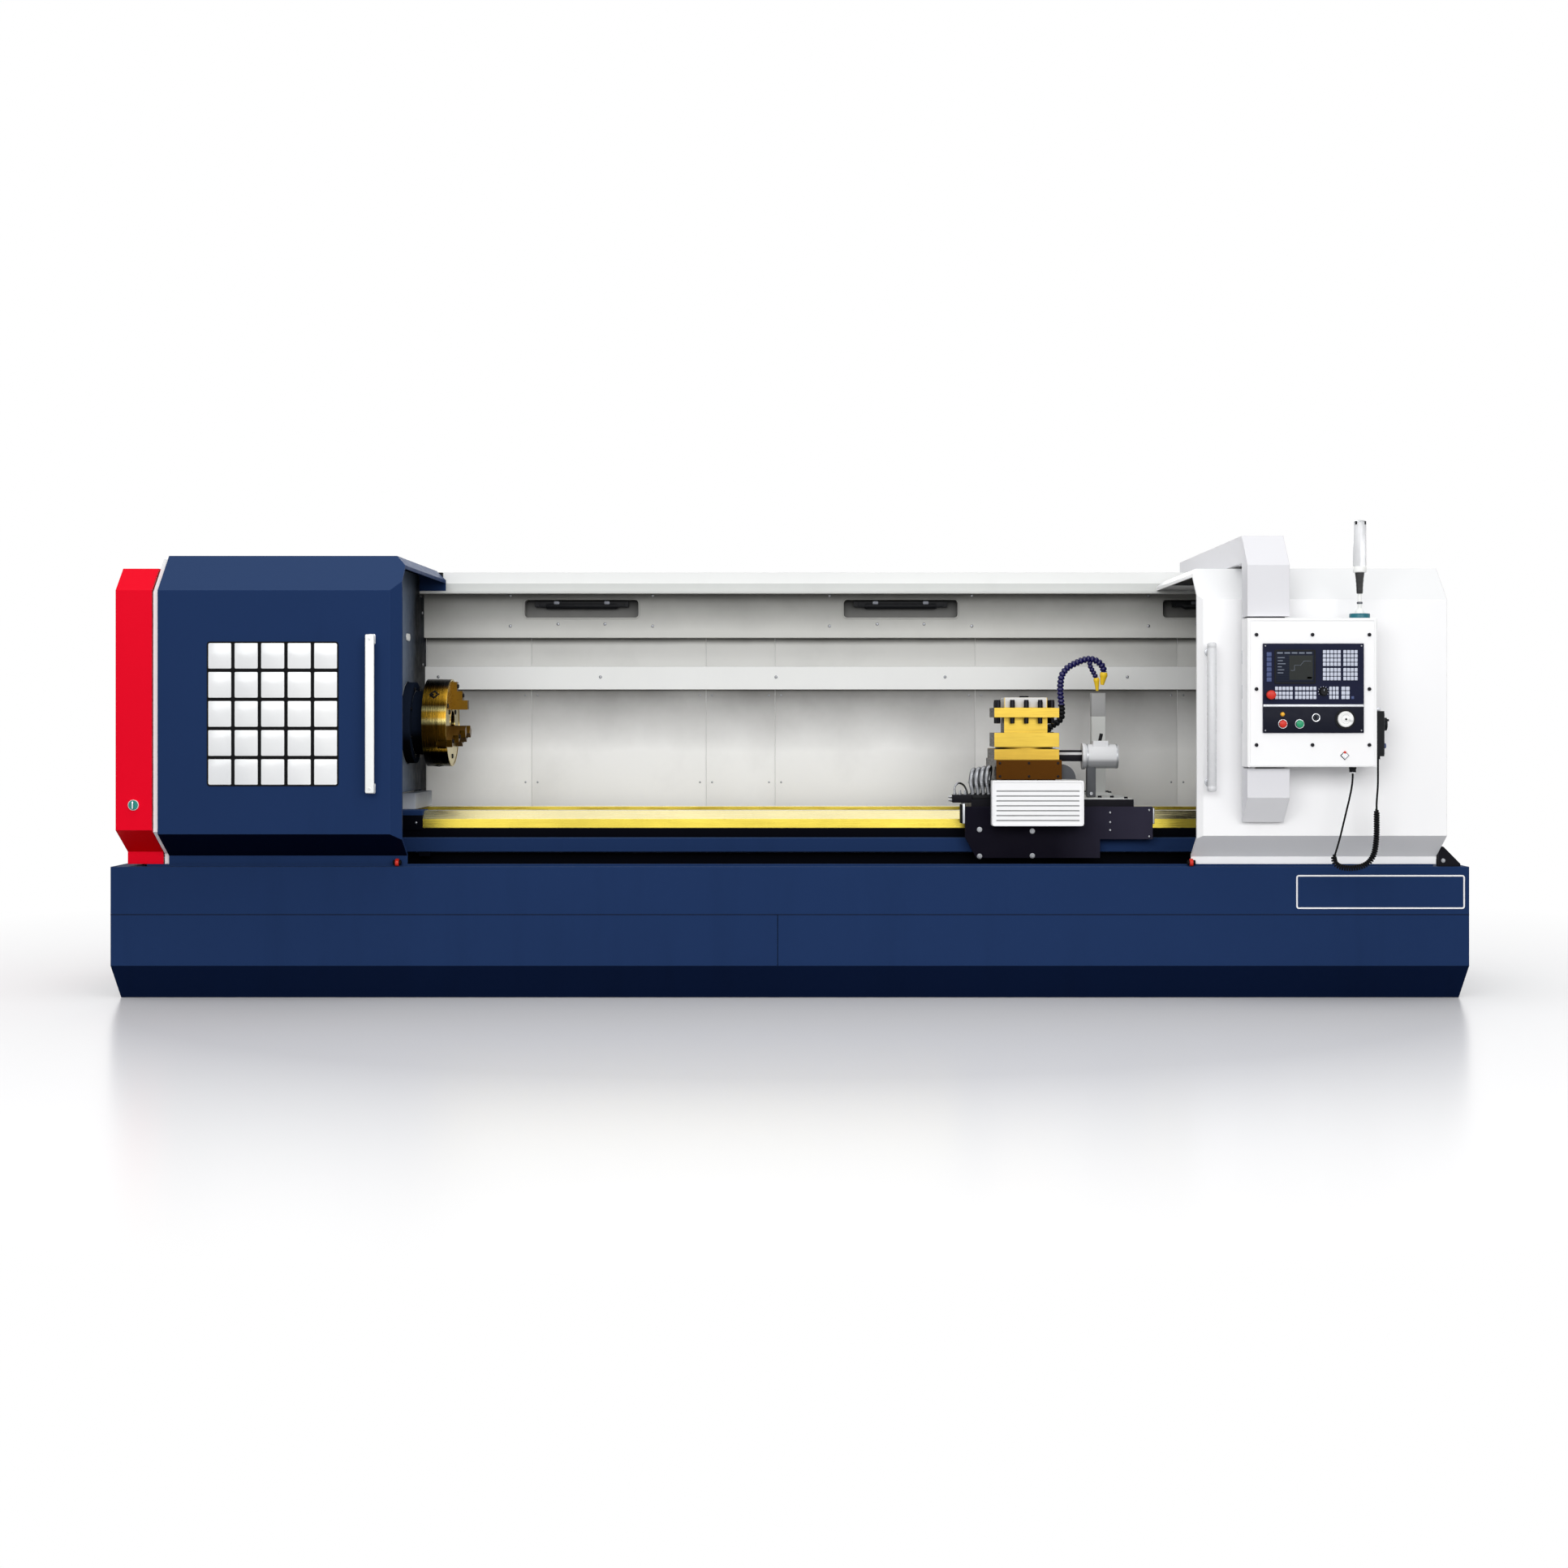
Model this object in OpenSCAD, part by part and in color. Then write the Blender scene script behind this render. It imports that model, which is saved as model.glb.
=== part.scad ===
// Flat-bed CNC turning lathe with sliding splash guards and a swivelling control box.
// Frame: origin on the floor, +X from the chuck to the tailstock, +Y to the rear, +Z up.

/* [Base] */
// Length of the base
base_l = 6000; // [5900:10:6300]
// From the origin to the front of the base
base_front = 925; // [910:5:940]
// From the origin to the rear of the base
base_rear = 650; // [645:5:700]
// Height of the tray's top rim
base_top = 580; // [572:1:584]
// Height of the seam between the skirt and the tray
seam_z = 369; // [340:1:400]
// Height of the slanted plinth
plinth_h = 143; // [120:1:170]
// How far the plinth is drawn in at the floor
plinth_inset = 36; // [10:1:60]
// Width of the plinth's ring
plinth_ring = 110; // [80:1:130]
// Wall of the skirt panels
skirt_wall = 12; // [6:1:20]
// Seam of the skirt panels, from the middle of the base
skirt_seam_x = -54; // [-400:1:400]
// Gap between the two skirt panels
skirt_gap = 3; // [1:0.5:6]
// Wall of the chip tray
tray_wall = 12; // [6:1:18]
// Width of the tray's rim at the front and the ends
rim_w = 150; // [120:5:170]
// Depth of the deck behind the rear guard
deck_d = 360; // [355:5:380]
// Height of the door track on the rim
track_h = 10; // [6:1:14]

/* [Bed] */
// Height of the bed casting's top
bed_top = 733; // [728:1:740]
// Height of the bed casting's underside
bed_under = 440; // [420:1:470]
// Width of the bed over both walls
bed_w = 640; // [620:5:650]
// Width of each bed wall
bed_wall = 120; // [100:5:135]
// From the left end of the base to the bed
bed_inset_l = 300; // [280:5:320]
// From the right end of the base to the bed
bed_inset_r = 400; // [390:5:420]
// Thickness of the cross ribs
rib_t = 60; // [40:5:80]
// Number of cross ribs
rib_n = 9; // [6:1:12]
// Length of each leg
leg_l = 460; // [380:10:520]
// Height of the guideways
way_h = 78; // [70:1:84]
// Height of the front way's slanted flank
flank_h = 37; // [20:1:45]
// Width of the front way's slanted flank
flank_w = 45; // [20:1:60]

/* [Spindle] */
// Spindle axis, from the origin
spindle_y = -200; // [-210:1:-195]
// Spindle axis above the ways
centre_h = 404; // [400:1:410]
// Radius of the spindle
spindle_r = 65; // [58:1:70]
// Radius of the bore through the spindle
spindle_bore_r = 42; // [35:1:44]
// Radius of the spindle's nose flange
nose_r = 150; // [120:1:165]
// Length of the nose flange
nose_l = 57; // [40:1:65]
// Gap between the end frame and the headstock
head_gap = 97; // [80:1:150]
// From the spindle to the front of the headstock
head_front = 320; // [300:5:325]
// From the spindle to the rear of the headstock
head_rear = 220; // [210:5:225]
// Height of the headstock over the spindle axis
head_rise = 265; // [240:5:290]
// Wall of the headstock casting
head_wall = 45; // [35:1:60]
// Radius of the bearing cap
cap_r = 190; // [170:1:194]
// How far the bearing cap stands out of the chuck wall
cap_proud = 40; // [15:1:45]
// Radius of the chuck
chuck_r = 206; // [198:1:210]
// Length of the chuck body
chuck_l = 112; // [100:1:120]
// Radius of the hole through the chuck
chuck_hole_r = 58; // [57:1:60]
// Width of a chuck jaw
jaw_w = 40; // [34:1:46]
// How far the jaws stand out of the chuck's face
jaw_proud = 75; // [66:1:75]
// From the axis to the inner end of a jaw
jaw_in = 62; // [56:1:70]
// From the axis to the outer end of a jaw
jaw_out = 193; // [175:1:195]
// Depth of the jaw slots
jaw_slot = 45; // [35:1:55]

/* [Drive] */
// Radius of the spindle pulley
pulley_r = 130; // [120:1:140]
// Radius of the motor pulley
motor_pulley_r = 80; // [70:1:90]
// Width of both pulleys
pulley_w = 90; // [70:1:100]
// Thickness of the belts
belt_t = 12; // [8:1:16]
// From the spindle axis to the motor axis, to the rear
motor_dy = 350; // [340:1:360]
// From the spindle axis down to the motor axis
motor_dz = 235; // [220:1:245]
// Radius of the spindle motor
motor_r = 112; // [100:1:120]
// Length of the spindle motor
motor_l = 420; // [360:5:460]
// Radius of the motor's shaft
motor_shaft_r = 24; // [18:1:30]

/* [Sliding guards] */
// Wall of the guards
guard_t = 12; // [8:1:16]
// From the origin to the guards' front face
guard_front = 1065; // [1050:5:1075]
// From the origin to the guards' foot
foot_front = 887; // [880:1:895]
// From the origin back to the guards' rear edge
roof_back = 170; // [164:1:176]
// Chamfer on the left guard's open edge
left_chamfer = 45; // [30:1:60]
// Chamfer on the right guard's open edge
right_chamfer = 24; // [12:1:40]
// Width of the left guard
left_w = 1056; // [1000:1:1090]
// Height of the left guard's roof
left_top = 1956; // [1950:1:1975]
// Fall of the left guard's roof slant
left_fall = 162; // [140:1:175]
// Height where the left guard's front begins
left_low = 731; // [715:1:760]
// Height of the left guard's foot
left_foot = 627; // [615:1:640]
// Width of the right guard
right_w = 1086; // [1060:1:1110]
// From the right end of the base to the right guard
right_inset = 136; // [120:1:150]
// How far the right guard's roof is below the left one's
right_drop = 57; // [52:1:62]
// Fall of the right guard's roof slant
right_fall = 144; // [130:1:160]
// Height where the right guard's front begins
right_low = 724; // [710:1:750]
// Height of the right guard's foot
right_foot = 624; // [615:1:640]
// Width of the window
window_w = 561; // [500:1:600]
// From the roof slant down to the window
window_drop = 230; // [200:1:260]
// From the left edge of the guard to the window
window_dx = 226; // [200:1:240]
// From the foot of the guard's front up to the window
window_rise = 216; // [180:1:250]
// Corner radius of the window
window_corner = 22; // [10:1:40]
// Panes along each side of the window
pane_n = 5; // [3:1:7]
// Width of the window's bars
bar_w = 12; // [8:1:18]
// Thickness of the window pane
pane_t = 5; // [3:0.5:8]
// How far the handles stand off the guards
handle_gap = 38; // [30:1:48]
// Width of the left handle
left_handle_w = 49; // [40:1:55]
// From the roof slant down to the left handle
left_handle_drop = 194; // [170:1:230]
// Radius of the right handle
right_handle_r = 20; // [14:1:24]
// From the roof slant down to the right handle
right_handle_drop = 191; // [170:1:230]

/* [End cover] */
// From the left end of the base to the cover
cover_inset = 65; // [55:1:75]
// Width of the cover
cover_w = 157; // [150:1:170]
// How far the cover's roof is below the left guard's
cover_drop = 61; // [50:1:75]
// Height where the cover's front begins
cover_low = 748; // [735:1:770]
// Height of the cover's foot
cover_foot = 645; // [630:1:660]
// How far the cover's roof slant runs back
cover_slope = 111; // [90:1:140]
// From the origin to the cover's rear edge
cover_back = 285; // [280:1:290]
// Thickness of the end frame behind the cover
frame_t = 22; // [16:1:26]
// Radius of the cover's hinge pins
hinge_r = 6; // [5:0.5:8]
// Radius of the cover's hinge knuckles
knuckle_r = 12; // [10:0.5:14]
// Radius of the quarter-turn lock
lock_r = 20; // [16:1:24]
// Height of the lock
lock_z = 858; // [840:1:900]

/* [Rear guard] */
// From the origin to the rear guard's panel
panel_y = 300; // [296:1:304]
// From the origin to the guard's top lip
lip_y = 200; // [192:1:205]
// How far the guard's top is below the left guard's roof
lip_drop = 5; // [1:1:15]
// Gap between the right guard's chamfered edge and the door rail
rail_gap = 1; // [0.5:0.5:5]
// How far the guard's top lip reaches below the rail's top
lip_lap = 4; // [1:1:10]
// From the guard's top down to the light box's lower edge
light_drop = 319; // [290:1:350]
// How far the light box stands out of the panel
light_d = 60; // [56:1:66]
// From the light box down to the cable duct's lower edge
duct_drop = 254; // [230:1:270]
// Height of the cable duct
duct_h = 113; // [90:1:130]
// How far the cable duct stands out of the panel
duct_d = 30; // [20:1:40]
// Width of the lamp windows
lamp_w = 560; // [500:5:600]
// Height of the lamp windows
lamp_h = 88; // [70:1:100]
// Spacing of the lamp windows
lamp_pitch = 1570; // [1500:5:1600]
// Middle of the centre lamp window, from the middle of the base
lamp_x = 530; // [480:5:560]

/* [Carriage] */
// From the tailstock back to the middle of the carriage
carriage_back = 874; // [830:1:1100]
// Width of the apron
apron_w = 850; // [820:1:880]
// Thickness of the apron's plate
apron_t = 38; // [30:1:42]
// From the origin to the apron's front
apron_front = 660; // [655:1:670]
// Height of the apron's lower edge
apron_low = 603; // [602:1:608]
// Thickness of the saddle over the ways
saddle_t = 56; // [44:1:64]
// Rail on the saddle that carries the cross slide
saddle_rail_h = 91; // [84:1:98]
// Height of the cross slide
slide_h = 88; // [80:1:96]
// Side of the tool turret
turret_w = 298; // [280:1:310]
// Turret axis, from the middle of the carriage
turret_dx = -134; // [-150:1:-120]
// Turret axis, from the origin
turret_y = -376; // [-380:1:-370]
// Height of a tool slot
slot_h = 71; // [60:1:80]
// Depth of a tool slot
slot_d = 49; // [40:1:55]
// Tool height, from the slot's floor to the spindle axis
tool_h = 46; // [40:1:50]
// Thickness of the turret's top plate
turret_plate = 44; // [36:1:50]
// Radius of the turret's pivot
turret_pin_r = 40; // [32:1:46]
// Radius of the ball screw
screw_r = 25; // [20:1:27]
// Ball screw axis in front of the bed
screw_dy = 42; // [40:1:44]
// Height of the ball screw
screw_z = 645; // [642:1:648]

/* [Tailstock] */
// From the right end of the bed to the tailstock
tail_inset = 40; // [35:1:60]
// Length of the tailstock's base
tail_l = 470; // [450:5:500]
// Radius of the tailstock's barrel
barrel_r = 95; // [85:1:110]
// Radius of the quill
quill_r = 50; // [42:1:56]
// How far the quill stands out of the barrel
quill_out = 65; // [50:1:65]
// Length of the live centre's point
centre_l = 60; // [50:1:70]
// Radius of the tailstock's handwheel
tail_wheel_r = 150; // [120:1:170]

/* [Pendant] */
// From the right guard's left edge to the column
column_dx = 188; // [180:1:200]
// Width of the column
column_w = 181; // [170:1:195]
// From the origin to the column's front
column_front = 1220; // [1215:1:1230]
// Thickness of the spine behind the box
spine_t = 25; // [20:1:25]
// Gap between the spine and the right guard
spine_gap = 25; // [20:1:30]
// Height of the arm
arm_h = 119; // [100:1:150]
// Gap between the arm and the right guard's roof
arm_gap = 11; // [8:1:26]
// Slant at the front of the arm
arm_slant = 135; // [110:1:150]
// Depth of the post behind the guard
post_d = 130; // [110:1:150]
// From the column's shelf down to its lower end
column_drop = 236; // [220:1:260]
// Width of the control box
box_w = 553; // [546:1:570]
// Height of the control box
box_h = 637; // [620:1:650]
// Depth of the control box
box_d = 130; // [124:1:132]
// From the arm's underside down to the control box
box_drop = 245; // [230:1:260]
// Gap above and below the control box
box_gap = 8; // [5:1:12]
// Radius of the box's swivel pins
swivel_r = 15; // [12:1:18]
// Width of the operator panel
panel_w = 430; // [420:1:440]
// Height of the operator panel
panel_h = 381; // [375:1:390]
// How far the operator panel stands out
panel_proud = 8; // [4:1:12]
// Radius of the emergency stop
stop_r = 19; // [15:1:21]
// Radius of the start and stop buttons
button_r = 16; // [12:1:18]
// Radius of the panel's handwheel
wheel_r = 33; // [26:1:40]
// Radius of the feed knob
knob_r = 14; // [11:1:17]
// Radius of the key switch
key_r = 12; // [9:1:14]
// Height of the handset
handset_h = 194; // [180:1:196]
// Radius of the handset's dial
dial_r = 28; // [22:1:32]
// Radius of the beacon's lens
beacon_r = 29; // [22:1:34]
// Length of the beacon's lens
beacon_l = 200; // [170:1:210]

/* [Clearances] */
// Running clearance of shafts in their bores, radial
run = 0.05; // [0.03:0.01:0.08]
// Clearance between parts that pass each other
pass = 5; // [3:0.5:8]
// Clearance between fixed sheet parts side by side
side_gap = 2; // [1:0.5:4]
// Clearance of flat slides in their slots
slide_gap = 0.1; // [0.05:0.05:0.3]

/* [Hidden] */
$fn = 64;
x_left = -base_l / 2;
x_right = base_l / 2;
y_front = -base_front;
way_top = bed_top + way_h;
spindle_z = way_top + centre_h;
bed_x0 = x_left + bed_inset_l;
bed_x1 = x_right - bed_inset_r;
bed_y0 = spindle_y - bed_w / 2;
bed_y1 = spindle_y + bed_w / 2;
tray_open_y1 = base_rear - deck_d;

// Heights that follow the left guard's roof
left_slant = left_top - left_fall;
right_top = left_top - right_drop;
right_slant = right_top - right_fall;
cover_top = left_top - cover_drop;
window_z = left_low + window_rise;
window_h = left_slant - window_drop - window_z;
rail_z = right_top - right_chamfer - guard_t * (1 + tan(22.5)) - rail_gap;
lip_top = left_top - lip_drop;
lip_low = rail_z - lip_lap;
light_low = lip_top - light_drop;
duct_low = light_low - duct_drop;

// Left group, measured from the left end of the base
cover_x0 = x_left + cover_inset;
cover_x1 = cover_x0 + cover_w;
frame_x0 = cover_x1 + side_gap;
frame_x1 = frame_x0 + frame_t;
left_x0 = frame_x1 + side_gap;
left_x1 = left_x0 + left_w;
wall_inset = 119;
wall_t = 12;
wall_x1 = left_x1 - wall_inset;
wall_x0 = wall_x1 - wall_t;
head_x1 = wall_x0;
head_x0 = frame_x1 + head_gap;
head_y0 = spindle_y - head_front;
head_y1 = spindle_y + head_rear;
cap_x1 = wall_x1 + cap_proud;
nose_x0 = cap_x1 + 0.5;
chuck_x0 = nose_x0 + nose_l;
chuck_x1 = chuck_x0 + chuck_l;
jaw_x1 = chuck_x1 + jaw_proud;
pulley_x0 = cover_x0 + guard_t + 24;
pulley_x1 = pulley_x0 + pulley_w;
motor_y = spindle_y + motor_dy;
motor_z = spindle_z - motor_dz;
motor_x0 = frame_x1 + 60;
motor_x1 = motor_x0 + motor_l;

// Right group, measured from the right end of the base
right_x1 = x_right - right_inset;
right_x0 = right_x1 - right_w;
end_wall_t = 12;
end_wall_x1 = right_x1 - 14;
end_wall_x0 = end_wall_x1 - end_wall_t;
guard_x0 = frame_x1;
guard_x1 = end_wall_x1;
foot_low = base_top + track_h;
tail_x1 = bed_x1 - tail_inset;
tail_x0 = tail_x1 - tail_l;

// Pendant
column_x0 = right_x0 + column_dx;
column_x1 = column_x0 + column_w;
column_back = -guard_front - spine_gap;
spine_front = column_back - spine_t;
box_x0 = column_x0 - 7;
box_x1 = box_x0 + box_w;
arm_low = right_top + arm_gap;
arm_top = arm_low + arm_h;
box_top = arm_low - box_drop;
box_z = box_top - box_h;
column_low = box_z - box_gap - column_drop;
box_corner = 72.1;
pivot_x = box_x0 + 31;
pivot_y = spine_front - box_corner - 8;
box_back = pivot_y + 65;
box_front = box_back - box_d;
panel_x0 = box_x0 + 65;
panel_z0 = box_z + 146;
panel_front = box_front - panel_proud;
panel_depth = 34;

// Carriage
carriage_x = tail_x0 - carriage_back;
apron_x0 = carriage_x - apron_w / 2;
apron_x1 = carriage_x + apron_w / 2;
apron_y0 = -apron_front;
apron_y1 = apron_y0 + apron_t;
apron_top = way_top + 24;
saddle_top = way_top + saddle_t;
saddle_y1 = bed_y1 + 30;
rail_top = saddle_top + saddle_rail_h;
slide_top = rail_top + slide_h;
turret_x = carriage_x + turret_dx;
slot_z = spindle_z - tool_h;
seat_z = slot_z - 65;
base_block_top = seat_z - 10;
turret_top = slot_z + slot_h + turret_plate;
screw_y = bed_y0 - screw_dy;
screw_x0 = wall_x1 + 120;
screw_x1 = bed_x1;
nut_x = carriage_x - 46;
cover_sheet = 4;
screw_cover_y = screw_y - 38;
screw_cover_top = bed_top - 43;
screw_cover_low = bed_top - 104;

// Cord: points of its middle line in the plane of the swivel pins, x and z from the box's lower right corner
cord_y = pivot_y;
cord_r = 3.2;
curl_r = 12.5;
cord_from = [box_x1, box_z];
lead_in = [for (p = [[-89, -28], [-89, -48], [-93, -88], [-103, -138], [-115, -188], [-127, -238],
    [-139, -288], [-151, -333], [-163, -373]]) cord_from + p];
curl_path = [for (p = [[-163, -373], [-169, -393], [-163, -416], [-143, -430], [-113, -436], [-78, -435],
    [-43, -426], [-15, -406], [3, -373], [11, -328], [14, -278], [14, -228], [14, -178]]) cord_from + p];
lead_out = [for (p = [[14, -178], [14, -158], [16, -128], [19, -88], [20, -48], [20, -8], [20, 32]])
    cord_from + p];

navy = [0.14, 0.22, 0.36];
white = [0.93, 0.93, 0.93];
gold = [0.98, 0.86, 0.38];

// Box between two corners
module block(x0, x1, y0, y1, z0, z1) {
    translate([x0, y0, z0])
        cube([x1 - x0, y1 - y0, z1 - z0]);
}

// Round bar along X
module bar_x(r, x0, x1, y, z) {
    translate([x0, y, z])
        rotate([0, 90, 0])
            cylinder(r = r, h = x1 - x0);
}

// Round bar along Y
module bar_y(r, y0, y1, x, z) {
    translate([x, y1, z])
        rotate([90, 0, 0])
            cylinder(r = r, h = y1 - y0);
}

// Round bar along Z
module bar_z(r, z0, z1, x, y) {
    translate([x, y, z0])
        cylinder(r = r, h = z1 - z0);
}

// Outline in y and z, drawn out along X
module along_x(points, x0, x1) {
    translate([x0, 0, 0])
        rotate([90, 0, 90])
            linear_extrude(x1 - x0)
                polygon(points);
}

// Outline in x and z, drawn out along Y
module along_y(points, y0, y1) {
    translate([0, y1, 0])
        rotate([90, 0, 0])
            linear_extrude(y1 - y0)
                polygon(points);
}

// Outline in x and y, drawn out along Z
module along_z(points, z0, z1) {
    translate([0, 0, z0])
        linear_extrude(z1 - z0)
            polygon(points);
}

// Rectangle with round corners, from its lower left corner
module round_rect(w, h, r) {
    translate([r, 0])
        square([w - 2 * r, h]);
    translate([0, r])
        square([w, h - 2 * r]);
    for (x = [r, w - r], y = [r, h - r])
        translate([x, y])
            circle(r);
}

// Rounded plate in x and z, drawn out along Y
module plate_y(x0, z0, w, h, r, y0, y1) {
    translate([x0, y1, z0])
        rotate([90, 0, 0])
            linear_extrude(y1 - y0)
                round_rect(w, h, r);
}

// Points of an open outline moved to its right-hand side, with mitred corners
function right_of(a, b) = [b.y - a.y, a.x - b.x] / norm(b - a);
function shifted(p, i, t) =
    let (n1 = right_of(p[max(i - 1, 0)], p[max(i, 1)]))
    let (n2 = i < len(p) - 1 ? right_of(p[i], p[i + 1]) : n1)
    p[i] + t * (n1 + n2) / (1 + n1 * n2);
function inset(p, t) = [for (i = [0:len(p) - 1]) shifted(p, i, t)];

// Outline of a guard from its foot over the roof to its rear edge
function guard_path(foot, low, slant, top, slope, back, end) = [[-foot_front, foot_low],
    [-foot_front, foot], [-guard_front, low], [-guard_front, slant], [-guard_front + slope, top],
    [back, top], [back, end]];
roof_slope = guard_front - foot_front;
guard_end = rail_z + slide_gap;
left_path = guard_path(left_foot, left_low, left_slant, left_top, roof_slope, roof_back, guard_end);
right_path = guard_path(right_foot, right_low, right_slant, right_top, roof_slope, roof_back, guard_end);
cover_path = guard_path(cover_foot, cover_low, left_slant, cover_top, cover_slope, cover_back, foot_low);

// Plan and front outlines that take a chamfer off one end of a guard
function cut_end(plain, cut, face, away, c, t) =
    let (s = sign(cut - plain))
    let (d = sign(away - face))
    let (k = t * tan(22.5))
    let (over = t > 0 ? 1 : 0)
    [[plain - s * over, face + d * t], [cut - s * (c + k), face + d * t],
        [cut + s * over, face + d * (t + c + k + over)], [cut + s * over, away], [plain - s * over, away]];

module guard_solid(outline, plain, cut, c, top, t) {
    over = t > 0 ? 1 : 0;
    intersection() {
        along_x(outline, min(plain, cut) - over, max(plain, cut) + over);
        along_z(cut_end(plain, cut, -guard_front, roof_back + 50, c, t), 0, top + 50);
        along_y(cut_end(plain, cut, top, 0, c, t), -guard_front - 50, roof_back + 50);
    }
}

// Folded guard, open below and at both ends, with a chamfer round one end
module guard(path, plain, cut, c, top) {
    rear = path[len(path) - 1];
    outer = concat(path, [[rear.x, foot_low]]);
    inner = concat(inset(path, guard_t), [[rear.x + 1, rear.y], [rear.x + 1, foot_low - 1],
        [-foot_front + guard_t, foot_low - 1]]);
    difference() {
        guard_solid(outer, plain, cut, c, top, 0);
        guard_solid(inner, plain, cut, c, top, guard_t);
    }
}

// Tube swept along points in x and z, at a fixed y, with one radius or one for each point
function ring_normal(p, i) =
    let (a = p[max(i - 1, 0)])
    let (b = p[min(i + 1, len(p) - 1)])
    right_of(a, b);
module swept_tube(p, y, radii, sides) {
    count = len(p);
    points = [for (i = [0:count - 1], k = [0:sides - 1])
        let (n = ring_normal(p, i))
        let (r = is_list(radii) ? radii[i] : radii)
        let (u = r * cos(360 * k / sides))
        [p[i].x + n.x * u, y + r * sin(360 * k / sides), p[i].y + n.y * u]];
    start = [[for (k = [0:sides - 1]) k]];
    end = [[for (k = [sides - 1:-1:0]) (count - 1) * sides + k]];
    walls = [for (i = [0:count - 2], k = [0:sides - 1], half = [0, 1])
        let (a = i * sides + k)
        let (b = i * sides + (k + 1) % sides)
        half == 0 ? [a, b + sides, b] : [a, a + sides, b + sides]];
    polyhedron(points, concat(start, end, walls));
}

// Base

module plinth() {
    side = [[x_left + plinth_inset, 0], [x_right - plinth_inset, 0], [x_right, plinth_h], [x_left, plinth_h]];
    section = [[y_front + plinth_inset, 0], [base_rear - plinth_inset, 0], [base_rear, plinth_h],
        [y_front, plinth_h]];
    color([0.04, 0.08, 0.18])
        difference() {
            intersection() {
                along_y(side, y_front, base_rear);
                along_x(section, x_left, x_right);
            }
            block(x_left + plinth_ring, x_right - plinth_ring, y_front + plinth_ring,
                base_rear - plinth_ring, -1, plinth_h + 1);
        }
}

module skirt_panels() {
    color(navy)
        difference() {
            block(x_left, x_right, y_front, base_rear, plinth_h, seam_z);
            block(x_left + skirt_wall, x_right - skirt_wall, y_front + skirt_wall, base_rear - skirt_wall,
                plinth_h - 1, seam_z + 1);
            block(skirt_seam_x - skirt_gap / 2, skirt_seam_x + skirt_gap / 2, y_front - 1, base_rear + 1,
                plinth_h - 1, seam_z + 1);
        }
}

leg_places = [bed_x0 + 30, -leg_l / 2, bed_x1 - 30 - leg_l];
leg_y0 = bed_y0 + 20;
leg_y1 = bed_y1 - 20;

module chip_tray() {
    color(navy) {
        difference() {
            block(x_left, x_right, y_front, base_rear, seam_z, base_top);
            block(x_left + tray_wall, x_right - tray_wall, y_front + tray_wall, base_rear - tray_wall,
                seam_z + tray_wall, base_top - tray_wall);
            block(x_left + rim_w, x_right - rim_w, y_front + rim_w, tray_open_y1, seam_z + tray_wall,
                base_top + 1);
            for (x = leg_places)
                block(x - pass, x + leg_l + pass, leg_y0 - pass, leg_y1 + pass, seam_z - 1,
                    seam_z + tray_wall + 1);
        }
        block(x_left + rim_w, x_right - rim_w, -foot_front, -foot_front + guard_t, base_top, foot_low);
    }
}

// Bed and ways

module bed() {
    pocket_y0 = bed_y0 + bed_wall;
    pocket_y1 = bed_y1 - bed_wall;
    pitch = (bed_x1 - bed_x0 - rib_t) / (rib_n - 1);
    color(navy)
        difference() {
            union() {
                block(bed_x0, bed_x1, bed_y0, bed_y1, bed_under, bed_top);
                for (x = leg_places)
                    block(x, x + leg_l, leg_y0, leg_y1, 0, bed_under);
                for (x = [screw_x0, screw_x1 - 50])
                    block(x, x + 50, screw_y - 34, bed_y0, screw_z - 38, screw_z + 38);
            }
            for (i = [0:rib_n - 2])
                block(bed_x0 + rib_t + i * pitch, bed_x0 + (i + 1) * pitch, pocket_y0, pocket_y1,
                    bed_under + 60, bed_top + 1);
            bar_x(screw_r + run, screw_x0 - 1, screw_x1 + 1, screw_y, screw_z);
        }
}

ways_x0 = wall_x1 + pass;

module guideways() {
    front = [[bed_y0, bed_top], [bed_y0, way_top - flank_h], [bed_y0 + flank_w, way_top],
        [bed_y0 + bed_wall, way_top], [bed_y0 + bed_wall, bed_top]];
    rear = [[bed_y1 - bed_wall, bed_top], [bed_y1 - bed_wall, way_top], [bed_y1, way_top], [bed_y1, bed_top]];
    color(gold) {
        along_x(front, ways_x0, bed_x1);
        along_x(rear, ways_x0, bed_x1);
    }
}

module screw_cover() {
    x0 = ways_x0;
    x1 = bed_x1;
    color(navy) {
        block(x0, x1, screw_cover_y, bed_y0, screw_cover_top - cover_sheet, screw_cover_top);
        block(x0, x1, screw_cover_y, screw_cover_y + cover_sheet, screw_cover_low, screw_cover_top);
    }
}

module ball_screw() {
    color("silver")
        bar_x(screw_r, screw_x0 - 20, screw_x1 - 1, screw_y, screw_z);
}

module z_servo_motor() {
    flange = 60;
    body_r = 52;
    color([0.12, 0.12, 0.14]) {
        block(bed_x1, bed_x1 + 18, screw_y - flange, screw_y + flange, screw_z - flange, screw_z + flange);
        bar_x(body_r, bed_x1 + 18, bed_x1 + 150, screw_y, screw_z);
        block(bed_x1 + 150, bed_x1 + 195, screw_y - body_r, screw_y + body_r, screw_z - body_r,
            screw_z + body_r);
        block(bed_x1 + 110, bed_x1 + 175, screw_y - 22, screw_y + 22, screw_z + 20, screw_z + body_r + 30);
    }
}

// Headstock, spindle and chuck

land_l = 70;

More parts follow.
